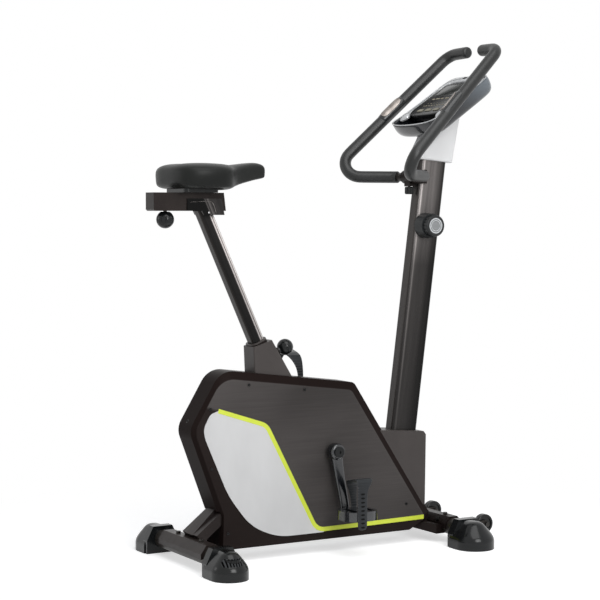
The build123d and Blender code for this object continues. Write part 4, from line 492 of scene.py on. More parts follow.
# the strap's line: distance outward from the pedal's inner edge, height above the spindle, half
# width, and how far forward of the spindle the strap's middle lies there
STRAP_LINE = [
    (0.0013, -0.01, 0.0085, 0.017), (0.0013, 0.015, 0.009, 0.017), (0.0014, 0.04, 0.0095, 0.016),
    (0.003, 0.062, 0.013, 0.012), (0.01, 0.083, 0.02, 0.005), (0.024, 0.0925, 0.0245, 0.0005),
    (0.046, 0.0975, 0.0262, 0.0), (0.068, 0.102, 0.0266, 0.0), (0.081, 0.1035, 0.0266, -0.0005),
    (0.0872, 0.0985, 0.0255, -0.0015), (0.0902, 0.086, 0.0212, -0.0055), (0.0918, 0.074, 0.017, -0.0105),
    (0.0928, 0.058, 0.0158, -0.0122)]
STRAP_LINE += [(0.0932, up, 0.0156, -0.0124) for up in (0.04, 0.02, 0.0, -0.02)]
STRAP_LINE.append((0.0932, -0.037, 0.0145, -0.0124))
PEDAL_INNER = 0.104
# across the strap: share of its half width, share of its half thickness
STRAP_SECTION = [(-1.0, -0.6), (-0.5, -1.0), (0.5, -1.0), (1.0, -0.6),
                 (1.0, 0.6), (0.5, 1.0), (-0.5, 1.0), (-1.0, 0.6)]


def strap_rings(spindle_x, spindle_z, side):
    """Cross-sections of one strap, square to its line, a little thinner at their edges."""
    rings = []
    line = [Vector((0.0, PEDAL_INNER + out, up)) for out, up, _, _ in STRAP_LINE]
    for i, (out, up, half, forward) in enumerate(STRAP_LINE):
        ahead = line[min(i + 1, len(line) - 1)] - line[max(i - 1, 0)]
        ahead.normalize()
        normal = Vector((0.0, ahead.z, -ahead.y)) * STRAP_HALF_THICK
        ring = []
        for across, lift in STRAP_SECTION:
            point = line[i] + normal * lift
            ring.append(Vector((spindle_x + forward + across * half, side * point.y, spindle_z + point.z)))
        rings.append(ring)
    return rings


strap_rubber = moulding("strap_rubber", (0.013, 0.014, 0.016), (0.024, 0.027, 0.03), 0.3, 1300.0, 0.0002)
tree = strap_rubber.node_tree
ribs = tree.nodes.new("ShaderNodeTexWave")
ribs.bands_direction = "Z"
ribs.inputs["Scale"].default_value = 42.0
tree.links.new(tree.nodes.new("ShaderNodeTexCoord").outputs["Object"], ribs.inputs["Vector"])
ribbed = relief(tree, ribs.outputs["Fac"], 0.001, 0.6)
tree.links.new(ribbed, tree.nodes["Principled BSDF"].inputs["Normal"])
slot_shade = moulding("slot_shade", (0.002, 0.002, 0.002), (0.004, 0.004, 0.004), 0.6, gloss=0.1)

# the strap's slots: up from the spindle, behind it, and outward from the pedal's inner edge
SLOT_COUNT = 9
SLOT_PITCH = 0.0115
SLOT_BEHIND = 0.0115
SLOT_OUT = 0.0932
SLOT_TOP = 0.064
SLOT_POINTS = 12
for side, body, name in ((-1, "right_pedal", "right"), (1, "left_pedal", "left")):
    low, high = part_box("pedal_" + name)
    spindle = (low + high) / 2
    strap = skin_over("strap_band_" + name, strap_rings(spindle.x, spindle.z, side), strap_rubber, 2)
    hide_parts("pedal_strap_" + name)
    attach(strap, body)
    # the row of slots down the narrow leg, by which the strap is let out, drawn as thin dark ovals on
    # the strap's face: painted shade in the holes, which are not cut
    slots = bmesh.new()
    for k in range(SLOT_COUNT):
        middle = Vector((spindle.x - SLOT_BEHIND, side * (PEDAL_INNER + SLOT_OUT),
                         spindle.z + SLOT_TOP - SLOT_PITCH * k))
        outline = oval(0.0062, 0.0026, SLOT_POINTS)
        rows = []
        for out in (0.0006, 0.002):
            rows.append([slots.verts.new(middle + Vector((a, side * out, b))) for a, b in outline])
        for i in range(SLOT_POINTS):
            j = (i + 1) % SLOT_POINTS
            slots.faces.new((rows[0][i], rows[0][j], rows[1][j], rows[1][i]))
        slots.faces.new(rows[0])
        slots.faces.new(rows[1])
    bmesh.ops.recalc_face_normals(slots, faces=slots.faces[:])
    strap_slot_shade = new_piece("strap_slot_shade_" + name, slots, slot_shade)
    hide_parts("pedal_strap_" + name)
    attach(strap_slot_shade, body)


# ---- Casing -----------------------------------------------------------------------------------
# Two halves in satin dark grey plastic, screwed together down the middle, with a darker and
# duller rim. A silver panel and a lime stripe are set on each side.
def ahead_of(tree, place, start, end):
    """Distance of a point from the line start-end on the side face, positive on its upper side."""
    along = (end - start).normalized()
    upward = Vector((-along.y, along.x))
    above = place_reckon(tree, "DOT_PRODUCT", place, (upward.x, 0.0, upward.y))
    return reckon(tree, "SUBTRACT", above, upward.dot(start))


def casing_plastic(name, side, rim, face_y, stripe):
    """Satin side faces with broad patches of painted sheen, over a darker rim, with a darker border
    behind and below the stripe.
    """
    finish, shader, place = start_finish(name, 0.34)
    tree = finish.node_tree
    away = reckon(tree, "ABSOLUTE", along_axis(tree, place, "Y"))
    flat = ramped(tree, away, face_y - 0.0022, face_y - 0.0006)
    top_run, rear_run, low_run = [ahead_of(tree, place, a, b) for a, b in zip(stripe, stripe[1:])]
    ahead = reckon(tree, "MAXIMUM", reckon(tree, "MINIMUM", rear_run, low_run), top_run)
    clear = ramped(tree, ahead, -0.004, 0.004, 0.12)
    edge = reckon(tree, "MULTIPLY", flat, clear)
    # broad soft patches: painted sheen on the side faces and a faint tone change on the rim; the fine level
    # streaks laid over them are marks in the plastic
    broad_patches = clouds(tree, stretched(tree, place, (1.0, 1.0, 1.4)), 2.2, 2.0)
    streaks = clouds(tree, stretched(tree, place, (6.0, 1.0, 240.0)), 1.0, 4.0)
    mixed = reckon(tree, "MULTIPLY_ADD", streaks, 0.22, spread(tree, broad_patches, -0.08, 0.86))
    side_colour = two_tone(tree, mixed, tuple(c * 0.72 for c in side), tuple(c * 1.25 for c in side))
    rim_colour = two_tone(tree, broad_patches, tuple(c * 0.85 for c in rim), rim)
    tree.links.new(blended(tree, edge, rim_colour, side_colour), shader.inputs["Base Color"])
    tree.links.new(spread(tree, edge, 0.3, 0.4), shader.inputs["Roughness"])
    tree.links.new(relief(tree, clouds(tree, place, 800.0, 2.0), 0.00005, 0.5), shader.inputs["Normal"])
    tree.links.new(spread(tree, edge, 0.015, 0.08), shader.inputs["Specular IOR Level"])
    return finish


# the casing's side face lies this far out; the stripe's line on it, rear top to low front
SIDE_FACE_Y = 0.054
STRIPE_LINE = [Vector((-0.362, 0.418)), Vector((-0.214, 0.37)), Vector((-0.054, 0.066)),
               Vector((0.306, 0.071))]
case_satin = casing_plastic("case_satin", (0.064, 0.058, 0.056), (0.017, 0.0115, 0.0105), SIDE_FACE_Y,
                            STRIPE_LINE)
dress(case_satin, "casing_right", "casing_left")

panel_silver = moulding("panel_silver", (0.58, 0.58, 0.58), (0.66, 0.66, 0.66), 0.35, 900.0, 0.00003)
dress(panel_silver, "side_panels")

stripe_lime = moulding("stripe_lime", (0.6, 0.7, 0.055), (0.7, 0.8, 0.085), 0.32, 900.0, 0.00003)
dress(stripe_lime, "trim_stripes")

screw_black = plated("screw_black", (0.02, 0.02, 0.02), (0.04, 0.04, 0.04), 0.35)
dress(screw_black, "casing_screws", "power_jack")

cover_plastic = moulding("cover_plastic", (0.05, 0.043, 0.041), (0.064, 0.056, 0.053), 0.38)
dress(cover_plastic, "seat_tube_cover", "post_base_cover", "seat_post_bushing")


# ---- Posts ------------------------------------------------------------------------------------
# The rectangular handlebar post and the oval seat post are drawn steel tubes in thin enamel, with
# long fine streaks along them. The bright and dark bands across their side faces are painted
# highlight and painted shade.
def toned_by(tree, value, stops, tint=(1.0, 1.0, 1.0)):
    """Tones of one tint, set at stops along the value."""
    ramp = tree.nodes.new("ShaderNodeValToRGB")
    while len(ramp.color_ramp.elements) < len(stops):
        ramp.color_ramp.elements.new(0.5)
    for stop, (spot, tone) in zip(ramp.color_ramp.elements, stops):
        stop.position = spot
        stop.color = (tone * tint[0], tone * tint[1], tone * tint[2], 1.0)
    tree.links.new(value, ramp.inputs["Fac"])
    return ramp.outputs["Color"]


BROWN_TINT = (1.0, 0.92, 0.89)


def streaked_enamel(name, lean, middle, half_depth, light_and_shade_stops, rise, plain):
    """Enamel with streaks along a leaning tube, with bands of painted highlight and painted shade
    across the side faces and a tone set by height.
    """
    finish, shader, place = start_finish(name, 0.26, 0.35)
    tree = finish.node_tree
    turn = tree.nodes.new("ShaderNodeMapping")
    turn.inputs["Rotation"].default_value = (0.0, -lean, 0.0)
    tree.links.new(place, turn.inputs["Vector"])
    centre = middle.x * math.cos(lean) - middle.z * math.sin(lean)
    across = along_axis(tree, turn.outputs["Vector"], "X")
    share = ramped(tree, across, centre - half_depth, centre + half_depth)
    painted_light_band = toned_by(tree, share, light_and_shade_stops, BROWN_TINT)
    along = stretched(tree, turn.outputs["Vector"], (60.0, 60.0, 1.6))
    streaks = clouds(tree, along, 1.0, 5.0)
    height = toned_by(tree, along_axis(tree, place, "Z"), rise)
    tone = reckon(tree, "MULTIPLY", height, spread(tree, streaks, 0.1, 1.9))
    toned = tree.nodes.new("ShaderNodeVectorMath")
    toned.operation = "SCALE"
    tree.links.new(painted_light_band, toned.inputs[0])
    tree.links.new(tone, toned.inputs["Scale"])
    normal = tree.nodes.new("ShaderNodeNewGeometry").outputs["Normal"]
    flank = ramped(tree, reckon(tree, "ABSOLUTE", along_axis(tree, normal, "Y")), 0.35, 0.85)
    bare = two_tone(tree, streaks, tuple(c * 0.6 for c in plain), plain)
    tree.links.new(blended(tree, flank, bare, toned.outputs["Vector"]), shader.inputs["Base Color"])
    tree.links.new(spread(tree, streaks, 0.34, 0.2), shader.inputs["Roughness"])
    tree.links.new(relief(tree, clouds(tree, place, 420.0), 0.0001, 0.3), shader.inputs["Normal"])
    shader.inputs["Specular IOR Level"].default_value = 0.14
    shader.inputs["Coat Weight"].default_value = 0.08
    shader.inputs["Coat Roughness"].default_value = 0.12
    return finish


# the handlebar post: a painted highlight near the rear edge of each side face, falling to painted shade
# towards the front edge; darker towards the bottom
post_enamel = streaked_enamel(
    "post_enamel", math.radians(7.4), Vector((0.3, 0.0, 0.616)), 0.043,
    [(0.0, 0.04), (0.07, 0.12), (0.12, 0.62), (0.17, 0.22), (0.45, 0.16), (0.75, 0.085), (0.92, 0.022),
     (1.0, 0.04)],
    [(0.45, 0.16), (0.8, 0.28), (0.9, 0.8), (1.0, 1.0)], (0.06, 0.053, 0.05))
dress(post_enamel, "handlebar_post")

# the seat post: two painted highlights near the front of its side faces; darker towards the bottom and much
# darker at its very head
seat_enamel = streaked_enamel(
    "seat_enamel", math.radians(-24.4), Vector((-0.378, 0.0, 0.953)), 0.019,
    [(0.0, 0.015), (0.06, 0.012), (0.48, 0.014), (0.58, 0.03), (0.66, 0.95), (0.74, 0.08), (0.84, 1.0),
     (1.0, 0.3)],
    [(0.5, 0.4), (0.8, 0.85), (0.935, 1.0), (0.945, 0.12)], (0.02, 0.016, 0.014))
dress(seat_enamel, "seat_post")

# a thin pale bead along the pressed rim of the bracket on the seat post's head, a painted highlight
# on that edge, and the bracket's bolt
BRACKET_RIM = [(-0.438, 0.9798), (-0.405, 0.982), (-0.374, 0.9838), (-0.3662, 0.9815),
               (-0.361, 0.975), (-0.356, 0.96), (-0.3525, 0.948)]
BRACKET_FACE = 0.0283
RIM_RADIUS = 0.001
highlight_metal = plated("highlight_metal", (0.1, 0.09, 0.085), (0.3, 0.28, 0.27), 0.34)
for side, name in ((-1, "right"), (1, "left")):
    rings = []
    for x, z in BRACKET_RIM:
        spot = Vector((x, side * BRACKET_FACE, z))
        rings.append([spot + Vector((a * 0.7, b, a * 0.7)) for a, b in oval(RIM_RADIUS, RIM_RADIUS, 8)])
    highlight_bead = skin_over("bracket_edge_highlight_" + name, rings, highlight_metal, 1)
    bolt = turned_piece("bracket_bolt_" + name, Vector((-0.3755, 0.0, 0.9525)), side,
                        [(0.027, 0.003), (0.03, 0.003), (0.0306, 0.0018)], zinc, 16)
    for piece in (highlight_bead, bolt):
        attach(piece, "seat_mast")

# the tension dial stands on a stout moulded cone on the post's right face
knob_rubber = moulding("knob_rubber", (0.014, 0.015, 0.016), (0.024, 0.026, 0.027), 0.34, 1200.0, 0.0001)
dress(knob_rubber, "tension_knob_base")


def ringed_face(name, centre, radius, stops):
    """Black knob whose outer face carries rings of silver ink."""
    finish = moulding(name, (0.014, 0.015, 0.016), (0.024, 0.026, 0.027), 0.34, 1200.0, 0.0001)
    tree = finish.node_tree
    shader = tree.nodes["Principled BSDF"]
    place = tree.nodes.new("ShaderNodeTexCoord").outputs["Object"]
    shift = tree.nodes.new("ShaderNodeMapping")
    shift.inputs["Location"].default_value = (-centre.x, 0.0, -centre.z)
    tree.links.new(place, shift.inputs["Vector"])
    flat = stretched(tree, shift.outputs["Vector"], (1.0, 0.0, 1.0))
    reach = spread(tree, place_reckon(tree, "LENGTH", flat), 0.0, 1.0 / radius)
    inks = toned_by(tree, reach, stops, (1.0, 1.03, 1.05))
    normal = tree.nodes.new("ShaderNodeNewGeometry").outputs["Normal"]
    front = ramped(tree, along_axis(tree, normal, "Y"), -0.9, -0.98)
    tree.links.new(blended(tree, front, base_colour(shader), inks), shader.inputs["Base Color"])
    return finish


DIAL_CENTRE = Vector((0.33071, 0.0, 0.91453))
DIAL_RADIUS = 0.03
dial_inks = ringed_face("dial_inks", DIAL_CENTRE, DIAL_RADIUS, [
    (0.0, 0.24), (0.38, 0.28), (0.44, 0.04), (0.49, 0.85), (0.56, 0.04), (0.63, 0.4), (0.7, 0.75),
    (0.75, 0.04), (0.9, 0.02)])
dress(dial_inks, "tension_dial")


# ---- Handlebar --------------------------------------------------------------------------------
# One bent steel tube in the frame's enamel, with a sleeve of closed-cell foam over each side.
dress(frame_enamel, "handlebar")


def foam(name, dark, light):
    """Closed-cell foam: fine open pores, a soft uneven skin and a faint bloom."""
    finish, shader, place = start_finish(name, 0.34)
    tree = finish.node_tree
    tree.links.new(two_tone(tree, clouds(tree, place, 25.0, 4.0), dark, light), shader.inputs["Base Color"])
    pores = tree.nodes.new("ShaderNodeTexVoronoi")
    pores.inputs["Scale"].default_value = 900.0
    tree.links.new(place, pores.inputs["Vector"])
    skin = relief(tree, clouds(tree, place, 120.0), 0.0006, 0.35)
    tree.links.new(relief(tree, pores.outputs["Distance"], 0.0003, 0.16, skin), shader.inputs["Normal"])
    tree.links.new(spread(tree, clouds(tree, place, 200.0), 0.34, 0.44), shader.inputs["Roughness"])
    shader.inputs["Specular IOR Level"].default_value = 0.48
    shader.inputs["Sheen Weight"].default_value = 0.02
    return finish


def rounded_route(corners, radii):
    """Points along a line of straight runs with a true arc at each inner corner."""
    points = [corners[0]]
    for before, corner, after, radius in zip(corners, corners[1:], corners[2:], radii):
        back = (before - corner).normalized()
        ahead = (after - corner).normalized()
        half_angle = back.angle(ahead) / 2
        start = corner + back * radius / math.tan(half_angle)
        end = corner + ahead * radius / math.tan(half_angle)
        centre = corner + (back + ahead).normalized() * radius / math.sin(half_angle)
        run = (start - points[-1]).length
        steps = max(1, int(run / 0.03))
        points += [points[-1].lerp(start, k / steps) for k in range(1, steps)]
        first = start - centre
        last = end - centre
        for k in range(11):
            turned = first.slerp(last, k / 10) if k else first
            points.append(centre + turned.normalized() * radius)
    steps = max(1, int((corners[-1] - points[-1]).length / 0.01))
    points += [points[-1].lerp(corners[-1], k / steps) for k in range(1, steps + 1)]
    return points


def to_side(point, side):
    """A point of the rider's left half as it lies on the given side."""
    return Vector((point[0], side * point[1], point[2]))


def tube_rings(points, radii, sides=20):
    """Round cross-sections along a line, each turned on from the one before so they don't twist."""
    rings = []
    up = Vector((0.0, 0.0, 1.0))
    for i, point in enumerate(points):
        ahead = (points[min(i + 1, len(points) - 1)] - points[max(i - 1, 0)]).normalized()
        across = ahead.cross(up).normalized()
        up = across.cross(ahead).normalized()
        turns = [2 * math.pi * k / sides for k in range(sides)]
        rings.append([point + (across * math.cos(t) + up * math.sin(t)) * radii[i] for t in turns])
    return rings


GRIP_R = 0.0175
GRIP_FROM_Y = 0.064
# the bar's corners from the clamp outward, back, up and in, and the radius of each bend
BAR_CORNERS = [(0.296, 0.0, 1.056), (0.296, 0.072, 1.056), (0.126, 0.197, 1.058), (0.515, 0.124, 1.425),
               (0.519, 0.036, 1.427)]
BAR_BENDS = [0.04, 0.046, 0.04]
grip_foam = foam("grip_foam", (0.005, 0.0055, 0.0052), (0.01, 0.011, 0.011))
for side, name in ((-1, "right"), (1, "left")):
    route = rounded_route([to_side(corner, side) for corner in BAR_CORNERS], BAR_BENDS)
    centre_line = [p for p in route if abs(p.y) >= GRIP_FROM_Y or p.z > 1.1]
    tip = (centre_line[-1] - centre_line[-2]).normalized()
    centre_line = [centre_line[0]] + centre_line
    centre_line[0] = centre_line[1] - (centre_line[2] - centre_line[1]).normalized() * 0.0015
    centre_line += [centre_line[-1] + tip * 0.0035, centre_line[-1] + tip * 0.0055]
    radii = [GRIP_R] * len(centre_line)
    radii[0] = GRIP_R - 0.003
    radii[-2] = GRIP_R - 0.0035
    radii[-1] = GRIP_R - 0.009
    grip = skin_over("grip_sleeve_" + name, tube_rings(centre_line, radii), grip_foam, 2)
    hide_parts("foam_grips")
    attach(grip, "handlebar_set")

# each grip has a moulded pod round it, with a steel pulse plate let into its rear; along the pod
# from its middle: distance, radius, how far its middle lies to the rear
POD_HALF = [(0.015, 0.0182, 0.003), (0.034, 0.018, 0.0026), (0.044, 0.0172, 0.0018),
            (0.0475, 0.0155, 0.001), (0.048, 0.013, 0.001)]
POD_LINE = [(-reach, *rest) for reach, *rest in reversed(POD_HALF)] + POD_HALF
POD_UP_BAR = 0.288
# along the plate from its middle: distance, half of the turn that it covers
PLATE_HALF = [(0.025, 0.62), (0.033, 0.52), (0.037, 0.36), (0.0385, 0.15)]
PLATE_LINE = [(-reach, turn) for reach, turn in reversed(PLATE_HALF)] + [(0.0, 0.66)] + PLATE_HALF
PLATE_OUTER = 0.0218
PLATE_INNER = 0.0195
pod_black = moulding("pod_black", (0.01, 0.011, 0.012), (0.018, 0.019, 0.02), 0.25, coat=0.5)
plate_steel = plated("plate_steel", (0.2, 0.18, 0.165), (0.31, 0.28, 0.26), 0.36)
for side, name in ((-1, "right"), (1, "left")):
    bar_low = to_side(BAR_CORNERS[2], side)
    along = (to_side(BAR_CORNERS[3], side) - bar_low).normalized()
    rear = Vector((-1.0, -side * 0.35, 0.1))
    rear = (rear - along * rear.dot(along)).normalized()
    sideways = along.cross(rear)
    pod_middle = bar_low + along * POD_UP_BAR
    rings = []
    for reach, radius, shift in POD_LINE:
        centre = pod_middle + along * reach + rear * shift
        rings.append([centre + rear * a + sideways * b for a, b in oval(radius, radius, 24)])
    pod = skin_over("pulse_pod_" + name, rings, pod_black, 1)
    rings = []
    for reach, half_turn in PLATE_LINE:
        turns = [half_turn * (k / 4 - 1) for k in range(9)]
        ring = [(PLATE_OUTER, t) for t in turns] + [(PLATE_INNER, t) for t in reversed(turns)]
        rings.append([pod_middle + along * reach + (rear * math.cos(t) + sideways * math.sin(t)) * far
                      for far, t in ring])
    plate = skin_over("pulse_plate_" + name, rings, plate_steel, 1)
    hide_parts("pulse_plates")
    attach(pod, "handlebar_set")
    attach(plate, "handlebar_set")


# ---- Console ----------------------------------------------------------------------------------
# A deep glossy moulded bowl with a thin silver lip and an open tray at its lower end. A black
# display is let into a silver rim, which rises to a hood behind it. The keys are pale rubber.
CONSOLE_MIDDLE = Vector((0.401, 0.0, 1.274))
CONSOLE_TILT = math.radians(35.0)
UP_FACE = Vector((math.cos(CONSOLE_TILT), 0.0, math.sin(CONSOLE_TILT)))
OUT_OF_FACE = Vector((-math.sin(CONSOLE_TILT), 0.0, math.cos(CONSOLE_TILT)))


def on_face(up, across, out):
    """Point of the console: up its face, across it and out of it."""
    return CONSOLE_MIDDLE + UP_FACE * up + Vector((0.0, across, 0.0)) + OUT_OF_FACE * out


def both_halves(half):
    """Closed outline from the half of it on the rider's left, which starts and ends in the middle."""
    return half + [(up, -across) for up, across in half[-2:0:-1]]


def drawn_in(outline, inset):
    """Outline drawn in towards its own middle."""
    ups = [up for up, _ in outline]
    middle = (max(ups) + min(ups)) / 2
    long_share = 1 - inset / ((max(ups) - min(ups)) / 2)
    wide_share = 1 - inset / max(across for _, across in outline)
    return [(middle + (up - middle) * long_share, across * wide_share) for up, across in outline]


def lip_height(up):
    """The lip stands higher round the tray at the lower end."""
    return 0.006 + 0.005 * min(1.0, max(0.0, (-0.07 - up) / 0.035))


BOWL_PLAN = both_halves([
    (-0.138, 0.0), (-0.1375, 0.035), (-0.1345, 0.066), (-0.128, 0.092), (-0.119, 0.107),
    (-0.106, 0.1125), (-0.08, 0.112), (-0.03, 0.1095), (0.03, 0.106), (0.085, 0.1025),
    (0.112, 0.099), (0.126, 0.09), (0.131, 0.07), (0.132, 0.035), (0.132, 0.0)])
# the bowl's wall from the middle of its underside over the lip to the middle of the tray: how far
# in from the plan, share of the depth there, and whether the ring lies on the lip
BOWL_WALL = [(0.075, 1.0, 0), (0.048, 1.0, 0), (0.032, 1.0, 0), (0.02, 0.97, 0), (0.011, 0.89, 0),
             (0.005, 0.74, 0), (0.0015, 0.5, 0), (0.0, 0.22, 0), (0.0, 0.0, 1), (0.0035, 0.0, 1),
             (0.006, 0.2, 0), (0.01, 0.45, 0), (0.02, 0.55, 0), (0.06, 0.55, 0)]
bowl_rings = []
for inset, share, on_lip in BOWL_WALL:
    ring = []
    for up, across in drawn_in(BOWL_PLAN, inset):
        depth = 0.0435 + 0.022 * up
        ring.append(on_face(up, across, lip_height(up) - 0.001 if on_lip else -depth * share))
    bowl_rings.append(ring)
bowl_gloss = moulding("bowl_gloss", (0.008, 0.009, 0.012), (0.014, 0.016, 0.02), 0.18, coat=0.5, gloss=0.4)
tree = bowl_gloss.node_tree
place = tree.nodes.new("ShaderNodeTexCoord").outputs["Object"]
# the bowl's upper end turns paler and bluer: a painted reflection
tint = ramped(tree, along_axis(tree, place, "Z"), 1.235, 1.35, curve="SMOOTHSTEP")
bowl_shader = tree.nodes["Principled BSDF"]
painted_reflection = blended(tree, tint, base_colour(bowl_shader), (0.15, 0.175, 0.2, 1.0))
tree.links.new(painted_reflection, bowl_shader.inputs["Base Color"])
console_bowl = skin_over("console_bowl", bowl_rings, bowl_gloss, 2)
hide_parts("console_shell")
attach(console_bowl, "frame")

rim_silver = moulding("rim_silver", (0.46, 0.47, 0.48), (0.62, 0.63, 0.64), 0.2, 900.0, 0.00002, 0.6)
rim_silver.node_tree.nodes["Principled BSDF"].inputs["Metallic"].default_value = 0.35
lip_rings = []
for outer, inner in zip(BOWL_PLAN, drawn_in(BOWL_PLAN, 0.0042)):
    crest = lip_height(outer[0])
    lip_rings.append([on_face(*outer, crest - 0.002), on_face(*outer, crest + 0.0012),
                      on_face(*inner, crest + 0.0012), on_face(*inner, crest - 0.002)])
console_lip = skin_over("console_lip", lip_rings, rim_silver, 2, looped=True)

# stations of the rim from its ear beside the tray to the middle of the hood: outer edge, inner
# edge and the height of its crest
RIM_STATIONS = [
    (-0.097, 0.1, -0.094, 0.082, 0.003), (-0.089, 0.106, -0.079, 0.068, 0.012),
    (-0.072, 0.1085, -0.066, 0.08, 0.013), (-0.05, 0.107, -0.052, 0.0915, 0.006),
    (0.005, 0.104, 0.003, 0.0885, 0.004), (0.04, 0.102, 0.038, 0.0865, 0.004),
    (0.066, 0.1, 0.062, 0.0835, 0.008), (0.098, 0.096, 0.084, 0.079, 0.011),
    (0.116, 0.086, 0.094, 0.068, 0.012), (0.124, 0.066, 0.0975, 0.05, 0.0125),
    (0.127, 0.033, 0.0985, 0.025, 0.013), (0.1275, 0.0, 0.099, 0.0, 0.013)]
# across the rim: share of the way in, height as a share of the crest, and height added to it
RIM_SECTION = [(0.0, 0.0, 0.0), (0.0, 0.0, 0.0045), (0.18, 0.9, 0.0), (0.5, 1.0, 0.0), (0.82, 0.96, 0.0),
               (1.0, 0.0, 0.0068), (1.0, 0.0, -0.002), (0.5, 0.0, -0.002)]
rim_rings = []
for mirror, stations in ((1, RIM_STATIONS), (-1, RIM_STATIONS[-2::-1])):
    for outer_up, outer_across, inner_up, inner_across, crest in stations:
        ring = []
        for inward, share, lift in RIM_SECTION:
            up = outer_up + (inner_up - outer_up) * inward
            across = outer_across + (inner_across - outer_across) * inward
            ring.append(on_face(up, mirror * across, crest * share + lift))
        rim_rings.append(ring)
console_rim = skin_over("console_rim", rim_rings, rim_silver, 2)
for piece in (console_lip, console_rim):
    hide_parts("console_bezel")
    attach(piece, "frame")

DISPLAY_PLAN = both_halves([
    (-0.0765, 0.0), (-0.076, 0.03), (-0.0735, 0.055), (-0.068, 0.077), (-0.059, 0.089),
    (-0.045, 0.093), (0.0, 0.0905), (0.05, 0.0875), (0.084, 0.085), (0.0945, 0.078),
    (0.0975, 0.06), (0.098, 0.03), (0.098, 0.0)])
# from the middle of the display's back round to the middle of its face: how far in, height
DISPLAY_WALL = [(0.03, -0.018), (0.004, -0.018), (0.001, -0.016), (0.0, 0.0), (0.0004, 0.0052),
                (0.002, 0.0068), (0.005, 0.007), (0.03, 0.007), (0.06, 0.007)]
display_rings = [[on_face(up, across, out) for up, across in drawn_in(DISPLAY_PLAN, inset)]
                 for inset, out in DISPLAY_WALL]
display_black = moulding("display_black", (0.004, 0.004, 0.004), (0.008, 0.008, 0.008), 0.22, 900.0,
                         0.00001, 0.15)
display_block = skin_over("display_block", display_rings, display_black, 1)


def thin_block(plan, inset, back, front, crown):
    """Rings of a thin block on the console's face, its front edge drawn in a little."""
    layers = ((plan, back), (plan, front), (drawn_in(plan, inset), crown))
    return [[on_face(up, across, out) for up, across in layer] for layer, out in layers]


# the screen's glass and the pale legends printed in short dashes round it
screen_glass = moulding("screen_glass", (0.012, 0.014, 0.012), (0.02, 0.024, 0.02), 0.15, 900.0,
                        0.00001, 0.3)
screen_plan = [(0.055 + a, b) for a, b in oval(0.03, 0.064, 24, 8.0)]
screen_pane = skin_over("screen_pane", thin_block(screen_plan, 0.001, 0.0064, 0.0074, 0.0075),
                        screen_glass, 0)
legend_ink = moulding("legend_ink", (0.26, 0.23, 0.16), (0.4, 0.36, 0.27), 0.5)
# rows of dashes: place up the face, height, places across it, full width
LEGEND_ROWS = [(-0.026, 0.003, [-0.052, -0.04, -0.027, -0.014, 0.0, 0.013, 0.027, 0.041, 0.052], 0.009),
               (-0.014, 0.0014, [-0.045, -0.03, -0.015, 0.0, 0.015, 0.03, 0.045], 0.006),
               (0.01, 0.0052, [-0.045, -0.022, 0.002, 0.024, 0.046], 0.018)]
marks = bmesh.new()
for up, tall, acrosses, wide in LEGEND_ROWS:
    for i, across in enumerate(acrosses):
        half = wide / 2 * (1.0 if i % 2 else 0.72)
        corners = [(up - tall / 2, across - half), (up - tall / 2, across + half),
                   (up + tall / 2, across + half), (up + tall / 2, across - half)]
        marks.faces.new([marks.verts.new(on_face(a, b, 0.0073)) for a, b in corners])
bmesh.ops.recalc_face_normals(marks, faces=marks.faces[:])
display_legends = new_piece("display_legends", marks, legend_ink)
legend_depth = display_legends.modifiers.new("ink", "SOLIDIFY")
legend_depth.thickness = 0.0002
for piece in (display_block, screen_pane, display_legends):
    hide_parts("console_display")
    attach(piece, "frame")

sensor_plan = [(0.111 + a, b) for a, b in oval(0.0045, 0.011, 16)]
hood_sensor = skin_over("hood_sensor", thin_block(sensor_plan, 0.0015, 0.0115, 0.0137, 0.0139),
                        display_black, 1)
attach(hood_sensor, "frame")

key_rubber = moulding("key_rubber", (0.2, 0.19, 0.15), (0.3, 0.28, 0.22), 0.5)
dress(key_rubber, "console_key_left", "console_key_middle", "console_key_right")
cover_pale = moulding("cover_pale", (0.76, 0.76, 0.76), (0.84, 0.84, 0.84), 0.35, 900.0, 0.00003)
dress(cover_pale, "post_top_cover")


# ---- Saddle -----------------------------------------------------------------------------------
# Moulded foam under a stretched black vinyl skin: wide and deep at the rear, with the nose's
# underside rising to its tip. The skin is stapled under the pan.
def vinyl(name, dark, light):
    """Soft vinyl: leather-like grain, a little sheen and rubbed patches."""
    finish, shader, place = start_finish(name, 0.45)
    tree = finish.node_tree
    tree.links.new(two_tone(tree, clouds(tree, place, 6.0, 4.0), dark, light), shader.inputs["Base Color"])
    cells = tree.nodes.new("ShaderNodeTexVoronoi")
    cells.feature = "DISTANCE_TO_EDGE"
    cells.inputs["Scale"].default_value = 420.0
    tree.links.new(place, cells.inputs["Vector"])
    grain = relief(tree, cells.outputs["Distance"], 0.0004, 0.35)
    tree.links.new(grain, shader.inputs["Normal"])
    tree.links.new(spread(tree, clouds(tree, place, 14.0), 0.34, 0.46), shader.inputs["Roughness"])
    shader.inputs["Specular IOR Level"].default_value = 0.17
    shader.inputs["Sheen Weight"].default_value = 0.01
    return finish


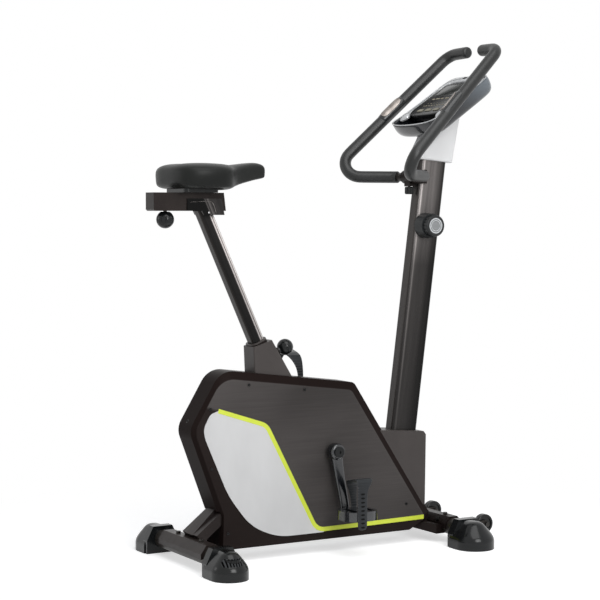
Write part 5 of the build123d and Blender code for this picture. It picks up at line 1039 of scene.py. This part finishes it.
# along the saddle, rear to nose: place, half width, underside, top, depth of the middle channel
SADDLE_STATIONS = [
    (-0.4912, 0.024, 1.042, 1.058, 0.0), (-0.489, 0.062, 1.03, 1.07, 0.0),
    (-0.48, 0.09, 1.019, 1.079, 0.001), (-0.46, 0.109, 1.0145, 1.084, 0.002),
    (-0.428, 0.1185, 1.0135, 1.086, 0.003), (-0.395, 0.1195, 1.0135, 1.086, 0.004),
    (-0.366, 0.116, 1.013, 1.085, 0.004), (-0.348, 0.108, 1.0125, 1.084, 0.004),
    (-0.336, 0.098, 1.0125, 1.083, 0.004), (-0.326, 0.086, 1.0145, 1.082, 0.003),
    (-0.312, 0.071, 1.02, 1.082, 0.003), (-0.288, 0.058, 1.0275, 1.0835, 0.002),
    (-0.258, 0.049, 1.035, 1.0875, 0.001), (-0.232, 0.042, 1.041, 1.0895, 0.0),
    (-0.214, 0.037, 1.044, 1.0865, 0.0), (-0.205, 0.032, 1.046, 1.082, 0.0),
    (-0.2015, 0.025, 1.049, 1.0765, 0.0), (-0.2005, 0.014, 1.054, 1.0705, 0.0)]
# how far each way the channel down the middle reaches
CHANNEL_REACH = 0.022
RING_POINTS = 28


def saddle_ring(x, half, under, top, channel):
    """Cross-section of the saddle: flat below, drawn in a little at the skirt, crowned on top."""
    middle = under + 0.52 * (top - under)
    ring = []
    for k in range(RING_POINTS):
        turn = 2 * math.pi * k / RING_POINTS
        across = math.copysign(abs(math.cos(turn)) ** 0.62, math.cos(turn))
        rise = math.copysign(abs(math.sin(turn)) ** (0.62 if math.sin(turn) > 0 else 0.24), math.sin(turn))
        y = half * across * (0.965 if rise < -0.6 else 1.0)
        z = middle + rise * ((top - middle) if rise > 0 else (middle - under))
        if rise > 0:
            z -= channel * math.exp(-(y / CHANNEL_REACH) ** 2)
        ring.append(Vector((x, y, z)))
    return ring


saddle_vinyl = vinyl("saddle_vinyl", (0.0075, 0.0082, 0.0075), (0.0125, 0.0135, 0.0125))
dress(black_nylon, "saddle_pan")
saddle_rings = [saddle_ring(*station) for station in SADDLE_STATIONS]
saddle_skin = skin_over("saddle_skin", saddle_rings, saddle_vinyl, 2)
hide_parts("saddle")
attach(saddle_skin, "saddle_carriage")
